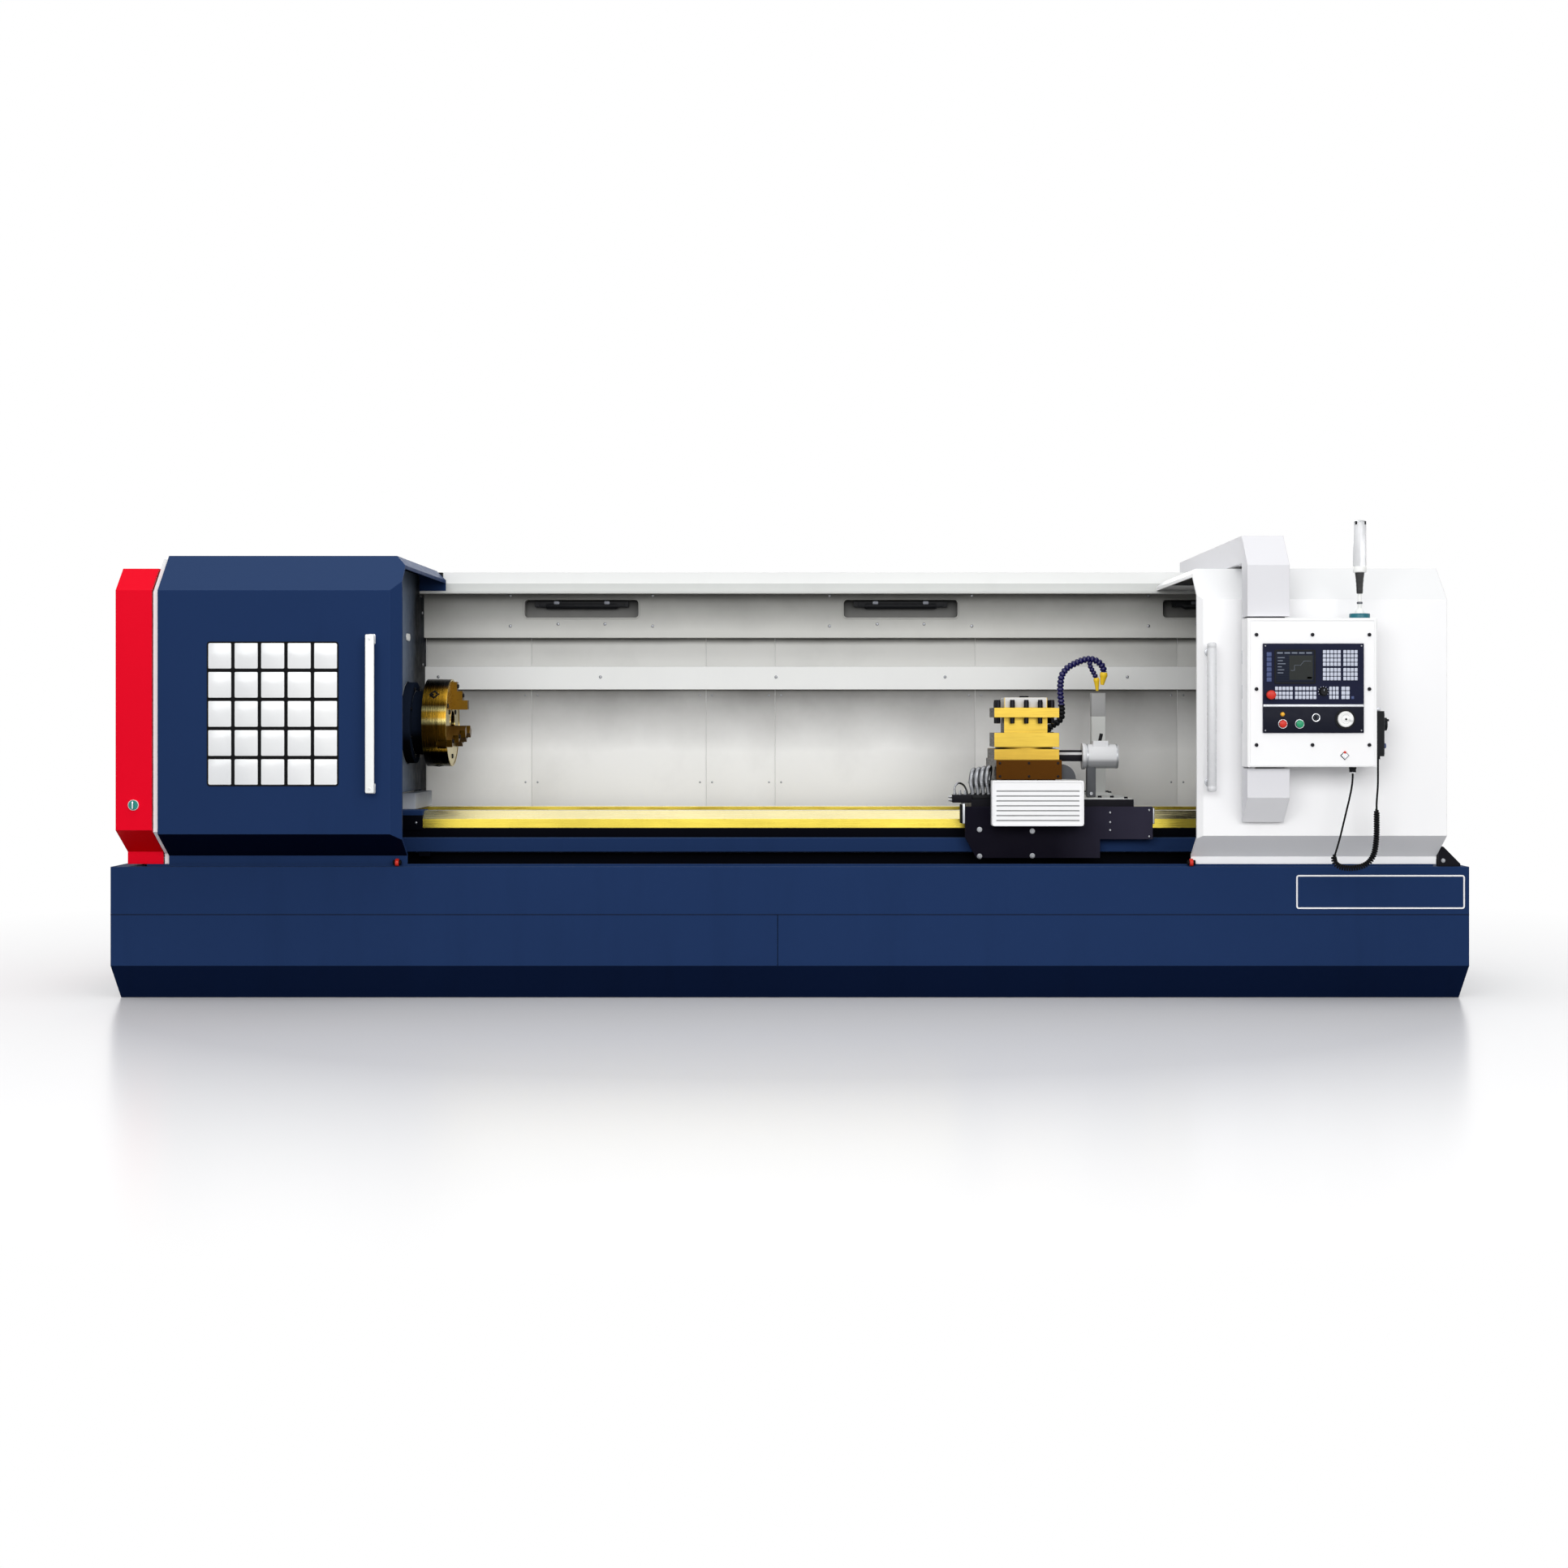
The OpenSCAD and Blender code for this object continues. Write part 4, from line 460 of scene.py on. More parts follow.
class Piece:
    """A mesh made of closed solids, each in one of the piece's materials."""

    def __init__(self, name, body, slot, key):
        self.name = name
        self.body = body
        self.slot = slot
        self.keys = []
        self.bm = bmesh.new()
        self.use(key)

    def use(self, key):
        """The material of the solids that follow."""
        if key not in self.keys:
            self.keys.append(key)
        self.index = self.keys.index(key)
        return self

    def face(self, verts):
        self.bm.faces.new(verts).material_index = self.index

    def loft(self, rings, closed=False):
        """Skin over rings, capped at both ends, or closed from the last ring to the first."""
        rows = [[self.bm.verts.new(p) for p in ring] for ring in rings]
        n = len(rows[0])
        for a, b in zip(rows, rows[1:] + rows[:1] if closed else rows[1:]):
            for k in range(n):
                self.face((a[k], a[(k + 1) % n], b[(k + 1) % n], b[k]))
        if not closed:
            self.face(rows[0][::-1])
            self.face(rows[-1])

    def stack(self, at, axis, levels, closed=False):
        """Loft of flat rings, each at its distance along an axis."""
        u, v = basis(axis)
        w = Vector(axis).normalized()
        at = Vector(at)
        self.loft([[at + w * d + u * x + v * y for x, y in ring] for ring, d in levels], closed)

    def turned(self, at, axis, profile, sides=24, closed=False):
        """Solid of revolution from radii and distances along the axis; a closed one leaves a hole."""
        self.stack(at, axis, [(circle(sides, r), d) for r, d in profile], closed)

    def rod(self, start, end, r, rim=0.0, sides=24):
        start, end = Vector(start), Vector(end)
        long = (end - start).length
        profile = [(r, 0), (r, long)]
        if rim:
            profile = [(r - rim, 0), (r - rim * 0.3, rim * 0.3), (r, rim), (r, long - rim),
                       (r - rim * 0.3, long - rim * 0.3), (r - rim, long)]
        self.turned(start, end - start, profile, sides)

    def slab(self, lo, hi, axis="y", corner=0.0, rim=0.0, steps=4):
        """Plate between two corners, thick along one axis, with round corners and rounded rims."""
        lo, hi = Vector(lo), Vector(hi)
        t = "xyz".index(axis)
        a, b = [i for i in range(3) if i != t]
        size, mid = hi - lo, (lo + hi) / 2
        corner = max(corner, rim * 1.05)
        levels = [(0.0, 0.0)]
        if rim:
            turns = (0, TAU / 12, TAU / 6, TAU / 4)
            levels = [(rim * (1 - math.sin(f)), rim * (1 - math.cos(f))) for f in turns]
        levels += [(inset, size[t] - depth) for inset, depth in levels[::-1]]
        rings = []
        for inset, depth in levels:
            w, h = size[a] - 2 * inset, size[b] - 2 * inset
            if corner:
                flat = round_rect(w, h, max(corner - inset, corner * 0.04), steps)
            else:
                flat = [(w / 2, h / 2), (-w / 2, h / 2), (-w / 2, -h / 2), (w / 2, -h / 2)]
            rings.append(lifted([(mid[a] + x, mid[b] + y) for x, y in flat], axis, lo[t] + depth))
        self.loft(rings)

    def frame_ring(self, x0, x1, z0, z1, y0, y1, width, corner):
        """Rounded rectangular frame in x and z, with its soft face at y0 and its back at y1."""
        cx, cz = (x0 + x1) / 2, (z0 + z1) / 2
        soft = min(width, abs(y1 - y0)) * 0.25
        near = y0 + soft if y1 > y0 else y0 - soft
        levels = ((0, y1), (0, near), (soft, y0), (width - soft, y0), (width, near), (width, y1))
        rings = []
        for inset, y in levels:
            r = max(corner - inset, corner * 0.1)
            flat = round_rect(x1 - x0 - 2 * inset, z1 - z0 - 2 * inset, r, 6)
            rings.append([(cx + x, y, cz + z) for x, z in flat])
        self.loft(rings, closed=True)

    def tube(self, points, r, sides=10):
        """Tube along points, with one radius or one for each point."""
        points = [Vector(p) for p in points]
        last = len(points) - 1
        radii = r if isinstance(r, list) else [r] * len(points)
        u = basis(points[1] - points[0])[0]
        rings = []
        for i, (p, radius) in enumerate(zip(points, radii)):
            w = (points[min(i + 1, last)] - points[max(i - 1, 0)]).normalized()
            u = (u - w * u.dot(w)).normalized()
            v = w.cross(u)
            rings.append([p + u * x + v * y for x, y in circle(sides, radius)])
        self.loft(rings)

    def prism(self, outline, axis, lo, hi):
        """Outline drawn out along an axis."""
        self.loft([lifted(outline, axis, level) for level in (lo, hi)])

    def cap_screw(self, at, axis, r, h):
        """Socket-head screw that stands on a face."""
        self.stack(at, axis, [(circle(24, r), 0), (circle(24, r), h * 0.86), (circle(24, r * 0.9), h),
                              (hexagon(24, r * 0.56), h), (hexagon(24, r * 0.52), h * 0.4)])

    def hex_bolt(self, at, axis, r):
        """Hexagon-head bolt on a washer."""
        h = r * 0.8
        washer = circle(24, r * 1.3)
        self.stack(at, axis, [(washer, 0), (washer, h * 0.18), (hexagon(24, r), h * 0.2),
                              (hexagon(24, r), h * 0.85), (hexagon(24, r * 0.86), h)])

    def pan_screw(self, at, axis, r):
        """Low domed screw with a socket."""
        self.turned(at, axis, [(r, 0), (r * 0.97, r * 0.22), (r * 0.75, r * 0.48), (r * 0.42, r * 0.58),
                               (r * 0.38, r * 0.3)], 20)

    def done(self):
        bmesh.ops.recalc_face_normals(self.bm, faces=self.bm.faces)
        mesh = bpy.data.meshes.new(self.name)
        self.bm.to_mesh(mesh)
        self.bm.free()
        for key in self.keys:
            mesh.materials.append(M[key])
        mesh.polygons.foreach_set("use_smooth", [True] * len(mesh.polygons))
        mesh.set_sharp_from_angle(angle=math.radians(32))
        made = bpy.data.objects.new(self.name, mesh)
        scene.collection.objects.link(made)
        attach(made, self.body)
        return made


def screws(name, body, key, places, axis, r):
    """A group of equal domed screws on one face."""
    made = Piece(name, body, "steel", key)
    for at in places:
        made.pan_screw(at, axis, r)
    made.done()


def smooth_path(points, steps=6):
    """Catmull-Rom line through points."""
    p = [Vector(q) for q in points]
    p = [2 * p[0] - p[1], *p, 2 * p[-1] - p[-2]]
    line = []
    for a, b, c, d in zip(p, p[1:], p[2:], p[3:]):
        for i in range(steps):
            t = i / steps
            line.append(0.5 * (2 * b + (c - a) * t + (2 * a - 5 * b + 4 * c - d) * t * t
                               + (3 * b - a - 3 * c + d) * t ** 3))
    return [*line, p[-2]]


def resampled(line, step):
    """Points along a line at an even step, with its ends."""
    lengths = [0.0]
    for a, b in zip(line, line[1:]):
        lengths.append(lengths[-1] + (b - a).length)
    count = max(2, round(lengths[-1] / step))
    made, k = [], 0
    for i in range(count + 1):
        want = lengths[-1] * i / count
        while k < len(lengths) - 2 and lengths[k + 1] < want:
            k += 1
        share = (want - lengths[k]) / max(lengths[k + 1] - lengths[k], 1e-9)
        made.append(line[k].lerp(line[k + 1], share))
    return made


# Curly cord of the handset: two straight leads and the curl between them

CORD_Y = -1.1951
CORD_R = 0.0042
CURL_R = 0.0135
CURL_PITCH = 0.0102
CURL_EASE = 0.022
LEAD_IN = [(2.423, 1.000), (2.423, 0.980), (2.419, 0.940), (2.409, 0.890), (2.397, 0.840), (2.385, 0.790),
           (2.373, 0.740), (2.361, 0.695), (2.349, 0.655)]
CURL = [(2.349, 0.655), (2.343, 0.635), (2.349, 0.612), (2.369, 0.598), (2.399, 0.592), (2.434, 0.593),
        (2.469, 0.602), (2.497, 0.622), (2.515, 0.655), (2.523, 0.700), (2.526, 0.750), (2.526, 0.800),
        (2.526, 0.850)]
LEAD_OUT = [(2.526, 0.850), (2.526, 0.870), (2.528, 0.900), (2.531, 0.940), (2.532, 0.980), (2.532, 1.020),
            (2.532, 1.060)]


def curly_cord():
    """The cord's middle line: along both leads, and wound round the curl's line between them."""
    route = smooth_path([(x, CORD_Y, z) for x, z in LEAD_IN + CURL[1:] + LEAD_OUT[1:]], 8)
    route = resampled(route, 0.0007)
    start, end = [min(range(len(route)), key=lambda i: (route[i] - Vector((x, CORD_Y, z))).length)
                  for x, z in (CURL[0], CURL[-1])]
    step = (route[1] - route[0]).length
    ease = int(CURL_EASE / step)
    line = []
    for i, p in enumerate(route):
        if start <= i <= end:
            along = (route[min(i + 1, len(route) - 1)] - route[i - 1]).normalized()
            side = Vector(REAR).cross(along)
            share = min(1.0, (i - start) / ease, (end - i) / ease)
            share = share * share * (3 - 2 * share)
            turn = TAU * (i - start) * step / CURL_PITCH
            r = (CURL_R - CORD_R) * share
            line.append(p + side * (r * math.cos(turn)) + Vector(REAR) * (r * math.sin(turn)))
        elif i % 12 == 0 or i == len(route) - 1:
            line.append(p)
    cord = Piece("handset_cord", "control_box", "rubber", "cord")
    cord.tube(line, CORD_R, 8)
    made = cord.done()
    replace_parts(made, "cord_leads", "cord_curl")


# Base and rear guard

SEAMS = (-1.813, -1.293, -0.430, -0.089, 0.9, 1.9, 2.837)
LAMPS = (-1.04, 0.53, 2.10)


def base_details():
    """Seam round the base, bare plate frame, door stops, end bracket and rear panels."""
    thin, half = 0.0006, 0.0015
    seam = Piece("base_seam", "machine", "rubber", "rubber")
    for y in (BASE_FRONT - thin, BASE_REAR):
        seam.slab((BASE_LEFT - thin, y, BASE_SEAM - half), (BASE_RIGHT + thin, y + thin, BASE_SEAM + half))
    for x in (BASE_LEFT - thin, BASE_RIGHT):
        seam.slab((x, BASE_FRONT, BASE_SEAM - half), (x + thin, BASE_REAR, BASE_SEAM + half), "x")
    seam.done()
    plate = Piece("plate_outline", "machine", "white_paint", "white")
    plate.frame_ring(2.236, 2.981, 0.394, 0.544, BASE_FRONT - 0.0012, BASE_FRONT, 0.007, 0.012)
    plate.done()
    stops = Piece("door_stops", "machine", "rubber", "rubber")
    for x in (-1.738, 1.776):
        for key, half, r, rim in (("rubber", 0.018, 0.011, 0.002), ("red_plastic", 0.008, 0.017, 0.003)):
            stops.use(key).rod((x - half, -0.903, 0.598), (x + half, -0.903, 0.598), r, rim)
    stops.done()
    # A black bracket at the tray's right end: a fitting, and also painted shade in the gap under the right
    # door's lower slant.
    bracket = Piece("end_bracket", "machine", "black_paint", "black")
    side = [(2.872, 0), (2.968, 0), (2.968, 0.012), (2.893, 0.088), (2.872, 0.088)]
    bracket.prism([(x, DECK + rise) for x, rise in side], "y", -0.9, -0.86)
    bracket.use("bolt").hex_bolt((2.892, -0.9, DECK + 0.026), FRONT, 0.007)
    bracket.done()
    panels = Piece("base_rear_panels", "machine", "navy_paint", "navy")
    proud = BASE_REAR + 0.0035
    for x0 in (-2.7, -1.2, 0.5, 1.9):
        panels.use("navy").slab((x0, BASE_REAR, 0.175), (x0 + 0.9, proud, 0.345), "y", 0.012, 0.0012)
        for x, z in product((x0 + 0.03, x0 + 0.87), (0.2, 0.32)):
            panels.use("black_bolt").pan_screw((x, proud, z), REAR, 0.008)
    panels.done()


def work_space_details():
    """Sheets of the rear guard, bezels, pockets and tubes of the lamps, and the screws that hold them."""
    face = GUARD_Y - 0.0018
    # The rear sheets and the lamp bezels and pockets take graded paints: painted shade under the duct, the
    # light box and the lip, and in the pockets.
    lower = Piece("rear_sheets", "machine", "white_paint", "sheet")
    upper = Piece("upper_sheets", "machine", "white_paint", "upper_sheet")
    for x0, x1 in zip(SEAMS, SEAMS[1:]):
        for sheet, z0, z1 in ((lower, 0.592, 1.3775), (upper, 1.4915, 1.6315)):
            sheet.slab((x0 + 0.001, face, z0), (x1 - 0.001, GUARD_Y, z1), rim=0.0006)
    lower.done()
    upper.done()
    bezels = Piece("lamp_bezels", "machine", "white_paint", "lamp_sheet")
    pockets = Piece("lamp_pockets", "machine", "light_grey_paint", "pocket")
    tubes = Piece("lamp_tubes", "machine", "black_plastic", "black_plastic")
    holds = []
    for x in LAMPS:
        bezels.frame_ring(x - 0.287, x + 0.287, 1.724, 1.826, LIGHT_Y - 0.0025, LIGHT_Y, 0.0075, 0.024)
        pockets.slab((x - 0.279, 0.2885, 1.7315), (x + 0.279, 0.29, 1.8185), "y", 0.016)
        tubes.use("black_plastic").rod((x - 0.178, 0.268, 1.792), (x + 0.178, 0.268, 1.792), 0.017, 0.006)
        tubes.slab((x - 0.21, 0.2535, 1.7845), (x + 0.21, 0.2562, 1.8115), "y", 0.008, 0.001)
        for clip in (x - 0.138, x + 0.11):
            tubes.use("cast").slab((clip, 0.2495, 1.797), (clip + 0.028, 0.2535, 1.813), "y", 0.005, 0.001)
        holds += [(x + dx, LIGHT_Y, z) for dx, z in product((-0.35, 0.35), (1.69, 1.84))]
        holds += [(x + dx, LIGHT_Y, 1.70) for dx in (-0.115, 0.115)]
    bezels.done()
    pockets.done()
    tubes.done()
    holds += [(x, 0.27, 1.44) for x in (-1.75, -0.95, -0.084, 0.75, 1.65, 2.75)]
    screws("guard_screws", "machine", "bolt", holds, FRONT, 0.0075)
    beside = [(x + dx, face, z) for x, dx, z in product(SEAMS[1:-1], (-0.03, 0.03), (0.92, 1.35))]
    screws("sheet_screws", "machine", "bolt", beside, FRONT, 0.005)
    cap = Piece("lip_cap", "machine", "black_plastic", "black_plastic")
    cap.slab((-1.748, 0.188, 1.926), (-1.714, 0.2, 1.9505), "y", 0.004, 0.002)
    cap.done()


# Headstock side

def round_spindle(x, r, degrees):
    """A point at a radius and an angle about the spindle's axis."""
    a = math.radians(degrees)
    return Vector((x, SPINDLE_Y + r * math.cos(a), SPINDLE_Z + r * math.sin(a)))


def wall_details():
    """Bearing cap with its screws, and fittings on the wall behind the chuck."""
    cap = Piece("bearing_cap", "machine", "cast_iron", "nose")
    cap_x, cap_t = WALL_X + 0.0002, 0.0404
    profile = [(0.1912, 0), (0.1912, 0.0386), (0.1906, 0.0398), (0.1894, cap_t), (0.1518, cap_t),
               (0.151, 0.039), (0.0665, 0.0385)]
    cap.turned((cap_x, SPINDLE_Y, SPINDLE_Z), RIGHT, profile, 72)
    for k in range(8):
        at = round_spindle(cap_x + cap_t, 0.17, 45 * (k + 0.5))
        cap.use("black_bolt").cap_screw(at, RIGHT, 0.009, 0.006)
    cap.done()
    oval = Piece("wall_oval", "machine", "white_plastic", "white_plastic")
    oval.slab((WALL_X, -0.262, 1.602), (WALL_X + 0.006, -0.172, 1.636), "x", 0.0165, 0.002)
    oval.done()
    block = Piece("wall_blocks", "machine", "light_grey_paint", "foot_grey")
    block.slab((WALL_X, -0.37, 0.812), (-1.75, 0.09, 0.886), "z", 0.006, 0.003)
    block.use("navy").slab((WALL_X, -0.53, 0.79), (-1.69, -0.375, 0.814), "z", 0.005, 0.002)
    block.use("bed_black").slab((WALL_X, -0.53, 0.722), (-1.69, -0.505, 0.792), "y", 0.004, 0.002)
    block.use("bolt").pan_screw((-1.72, -0.53, 0.757), FRONT, 0.006)
    block.done()
    places = ((0.183, 1.752), (0.206, 1.499), (-0.45, 1.72), (-0.45, 1.0), (-0.75, 1.72), (-0.75, 0.85))
    screws("wall_screws", "machine", "bolt", [(WALL_X, y, z) for y, z in places], RIGHT, 0.008)


def chuck_details():
    """Key sockets round the chuck, rings and screws on its face, and the screws of the jaws."""
    face = Piece("chuck_rings", "spindle", "gold_chuck", "chuck_gold")
    for a in (20, 140, 260):
        out = (0, math.cos(math.radians(a)), math.sin(math.radians(a)))
        # A dark square at each key socket: painted shade in the hole.
        face.use("dark_slot").turned(round_spindle(CHUCK_X - 0.06, 0.2035, a), out, [
            (0.0255, 0), (0.0255, 0.0028), (0.024, 0.0034), (0.015, 0.0034), (0.014, 0.001)], 4)
    for r0, r1 in ((0.0585, 0.066), (0.198, 0.2055)):
        ring = [(r0, 0), (r0, 0.0012), (r0 + 0.001, 0.002), (r1 - 0.001, 0.002), (r1, 0.0012), (r1, 0)]
        face.use("chuck_gold").turned((CHUCK_X, SPINDLE_Y, SPINDLE_Z), RIGHT, ring, 72, closed=True)
    for a, r in product((30, 150, 270), (0.1, 0.158)):
        face.use("black_bolt").cap_screw(round_spindle(CHUCK_X, r, a), RIGHT, 0.011, 0.004)
    face.done()
    for k, a in enumerate((90, 210, 330)):
        jaw = Piece(f"jaw_{k + 1}_screws", f"jaw_{k + 1}", "gold_chuck", "black_bolt")
        for r, step in ((0.129, 0.05), (0.172, 0.025)):
            jaw.cap_screw(round_spindle(CHUCK_X + step, r, a), RIGHT, 0.0095, 0.006)
        jaw.done()


# Doors and end cover

def window_details():
    """Gasket and tiles of the left door's window."""
    gasket = Piece("window_gasket", "left_door", "rubber", "rubber")
    gasket.frame_ring(-2.5375, -1.9635, 0.94, 1.5705, DOOR_Y - 0.0022, DOOR_Y, 0.007, 0.014)
    gasket.slab((-2.5365, DOOR_Y - 0.0005, 0.941), (-1.9645, DOOR_Y + 0.0014, 1.5695), "y", 0.012)
    gasket.done()
    panes = Piece("window_tiles", "left_door", "pane", "pane")
    for i, k in product(range(5), range(5)):
        x, z = -2.5318 + 0.1155 * i, 0.9458 + 0.1267 * k
        panes.slab((x, DOOR_Y - 0.0018, z), (x + 0.1005, DOOR_Y + 0.001, z + 0.1118), "y", 0.005, 0.0009)
    panes.done()


def handle_details():
    """Bar handle of the left door and tube handle of the right one, on their posts."""
    bar = Piece("left_handle_bar", "left_door", "white_plastic", "handle")
    bar.slab((-1.8385, -1.119, 0.911), (-1.8005, -1.103, 1.6), "y", 0.006, 0.004)
    for z in (0.911, 1.56):
        bar.use("handle").slab((-1.834, -1.104, z + 0.001), (-1.806, -1.066, z + 0.039), "y", 0.006, 0.002)
        bar.use("alu").slab((-1.8375, -1.0675, z - 0.003), (-1.8025, DOOR_Y, z + 0.043), "y", 0.006, 0.001)
        bar.use("handle").pan_screw((-1.8195, -1.119, z + 0.02), FRONT, 0.006)
    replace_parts(bar.done(), "left_handle")
    tube = Piece("right_handle_bar", "right_door", "chrome", "grip")
    x, y, z0, z1 = 1.83, -1.123, 0.918, 1.564
    end = [(0.011, 0), (0.017, 0.002), (0.02, 0.008), (0.02, 0.02), (0.0188, 0.022), (0.0188, 0.026),
           (0.02, 0.028)]
    tube.turned((x, y, z0), UP, end + [(r, z1 - z0 - d) for r, d in end[::-1]], 32)
    for z in (z0 + 0.04, z1 - 0.04):
        tube.use("alu").rod((x, y + 0.012, z), (x, DOOR_Y, z), 0.014)
        tube.use("alu").rod((x, DOOR_Y - 0.005, z), (x, DOOR_Y, z), 0.022, 0.0015)
    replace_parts(tube.done(), "right_handle")


def cover_details():
    """Painted shade under the right door's roof as a black sheet, and the end cover's lock and louvres."""
    # A black sheet under the roof: painted shade where the roof's inside lies in shadow.
    dark_under_roof = Piece("painted_roof_shade", "right_door", "black_paint", "black")
    dark_under_roof.slab((1.796, -0.87, 1.8832), (2.83, 0.134, 1.8868), "z", 0.006, 0.001)
    for x, y in product((1.83, 2.3, 2.78), (-0.8, -0.35, 0.08)):
        dark_under_roof.use("bolt").pan_screw((x, y, 1.8832), DOWN, 0.006)
    dark_under_roof.done()
    lock = Piece("cover_lock_face", "cover_lock", "teal", "white_plastic")
    lock.frame_ring(-2.8795, -2.8335, 0.835, 0.881, -1.0725, -1.0655, 0.0025, 0.0225)
    lock.use("chrome").slab((-2.8595, -1.0842, 0.8425), (-2.8535, -1.083, 0.8735), "y", 0.002, 0.0004)
    lock.done()
    vents = Piece("cover_louvres", "end_cover", "red_paint", "red")
    cover_x, long, lip = low("end_cover", "x"), 0.3, 0.006
    for y, k in product((-0.82, -0.3), range(9)):
        z = 1.02 + k * 0.045
        vents.use("red").slab((cover_x - 0.0085, y, z), (cover_x, y + long, z + lip), "x")
        # A dark slab in each louvre's opening: painted shade.
        under = (cover_x - 0.0008, y + 0.01, z - 0.014)
        vents.use("dark_slot").slab(under, (cover_x, y + long - 0.01, z), "x")
    vents.done()


# Carriage

def saddle_details():
    """Plate on the saddle, way wipers and the lubrication block."""
    plate = Piece("saddle_plate", "carriage", "light_grey_paint", "light_grey")
    plate.slab((1.245, -0.616, SADDLE_Z), (1.557, 0.146, SADDLE_Z + 0.0025), "z", 0.006, 0.0008)
    for x, y in ((1.426, -0.45), (1.482, -0.45), (1.30, 0.1), (1.53, 0.1), (1.53, -0.58)):
        plate.use("black_bolt").cap_screw((x, y, SADDLE_Z + 0.0025), UP, 0.009, 0.009)
    plate.done()
    wiper = Piece("way_wipers", "carriage", "aluminium", "alu")
    wiper.slab((0.779, -0.66, 0.757), (0.7905, -0.565, 0.85), "x", 0.004, 0.002)
    wiper.use("rubber").slab((0.771, -0.655, 0.76), (0.779, -0.57, 0.845), "x", 0.004, 0.002)
    wiper.use("alu").slab((1.6415, -0.66, 0.757), (1.649, -0.565, 0.83), "x", 0.004, 0.002)
    wiper.done()
    lube = Piece("lube_block", "carriage", "black_paint", "black")
    lube.slab((0.735, -0.618, 0.852), (0.826, -0.552, 0.888), "y", 0.004, 0.002)
    nipple = [(0.0085, 0), (0.0085, 0.008), (0.006, 0.01), (0.006, 0.02)]
    for x in (0.748, 0.772, 0.796):
        lube.use("alu").turned((x, -0.585, 0.888), UP, nipple, 6)
    for z in (0.862, 0.878):
        lube.turned((0.735, -0.585, z), LEFT, [(0.007, 0), (0.007, 0.007), (0.005, 0.008), (0.005, 0.016)], 6)
    pipe = [(0.748, -0.585, 0.9), (0.748, -0.583, 0.922), (0.765, -0.57, 0.94), (0.79, -0.55, 0.93),
            (0.806, -0.54, 0.9), (0.81, -0.538, 0.868)]
    lube.use("conduit").tube(smooth_path(pipe), 0.0045)
    lube.done()


def apron_details():
    """Bolts on the apron, and the frame of the motor cover with grey strips along the grooves of its ribbed
    face, painted shade in the grooves.
    """
    front = Piece("apron_bolts", "carriage", "steel", "bolt")
    for x, z in ((0.856, 0.732), (1.095, 0.725), (0.856, 0.611), (1.095, 0.613)):
        front.hex_bolt((x, APRON_Y, z), FRONT, 0.009)
    for x, z in ((1.448, 0.809), (1.448, 0.765), (1.448, 0.729), (1.625, 0.7), (1.625, 0.82)):
        front.pan_screw((x, APRON_Y, z), FRONT, 0.0055)
    front.done()
    ribs = Piece("motor_cover_frame", "carriage", "white_paint", "white")
    cover_y = low("motor_cover", "y")
    ribs.frame_ring(0.905, 1.318, 0.752, 0.957, cover_y - 0.0025, cover_y, 0.009, 0.012)
    # Grey strips at the cover's grooves: painted shade in the grooves.
    for k in range(7):
        z = 0.7741 + 0.022 * k
        ribs.use("post_top").slab((0.925, -0.7546, z), (1.298, -0.754, z + 0.0053))
    for x in (0.925, 1.112, 1.298):
        ribs.use("black_bolt").pan_screw((x, -0.735, 0.9547), UP, 0.0045)
    ribs.done()


def conduit_details():
    """Four ribbed conduits between their glands, and the face of the coolant post."""
    pipes = Piece("conduits", "carriage", "steel", "conduit")
    for k in range(4):
        x, lean = 0.833 + 0.024 * k, 0.004 * k
        bow = [(0, -0.59, SADDLE_Z), (-0.004, -0.592, 0.9), (-0.012, -0.588, 0.94 + lean),
               (-0.006, -0.562, 0.985 + lean), (0.006, -0.53, 1.0 + lean), (0.012, -0.498, 0.985 + lean),
               (0.006, -0.473, 0.94), (0, -0.47, SADDLE_Z)]
        line = resampled(smooth_path([(x + dx, y, z) for dx, y, z in bow]), 0.0035)
        pipes.use("conduit").tube(line, [0.0105 if i % 2 else 0.0088 for i in range(len(line))])
        for y in (-0.59, -0.47):
            nut = [(0.0118, 0), (0.0118, 0.022), (0.0108, 0.025)]
            pipes.use("black_plastic").turned((x, y, SADDLE_Z), UP, nut, 6)
    for y in (-0.59, -0.47):
        pipes.slab((0.817, y - 0.016, SADDLE_Z), (0.921, y + 0.016, SADDLE_Z + 0.02), "z", 0.004, 0.002)
    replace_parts(pipes.done(), "carriage_conduits")
    post = Piece("coolant_post_face", "carriage", "light_grey_paint", "post_top")
    post.slab((1.4325, -0.0735, 1.245), (1.4995, -0.0065, 1.357), "z", 0.002, 0.0012)
    for y, x in product((-0.091, 0.011), (1.415, 1.517)):
        post.use("black_bolt").hex_bolt((x, y, SADDLE_Z + 0.014), UP, 0.008)
    post.done()


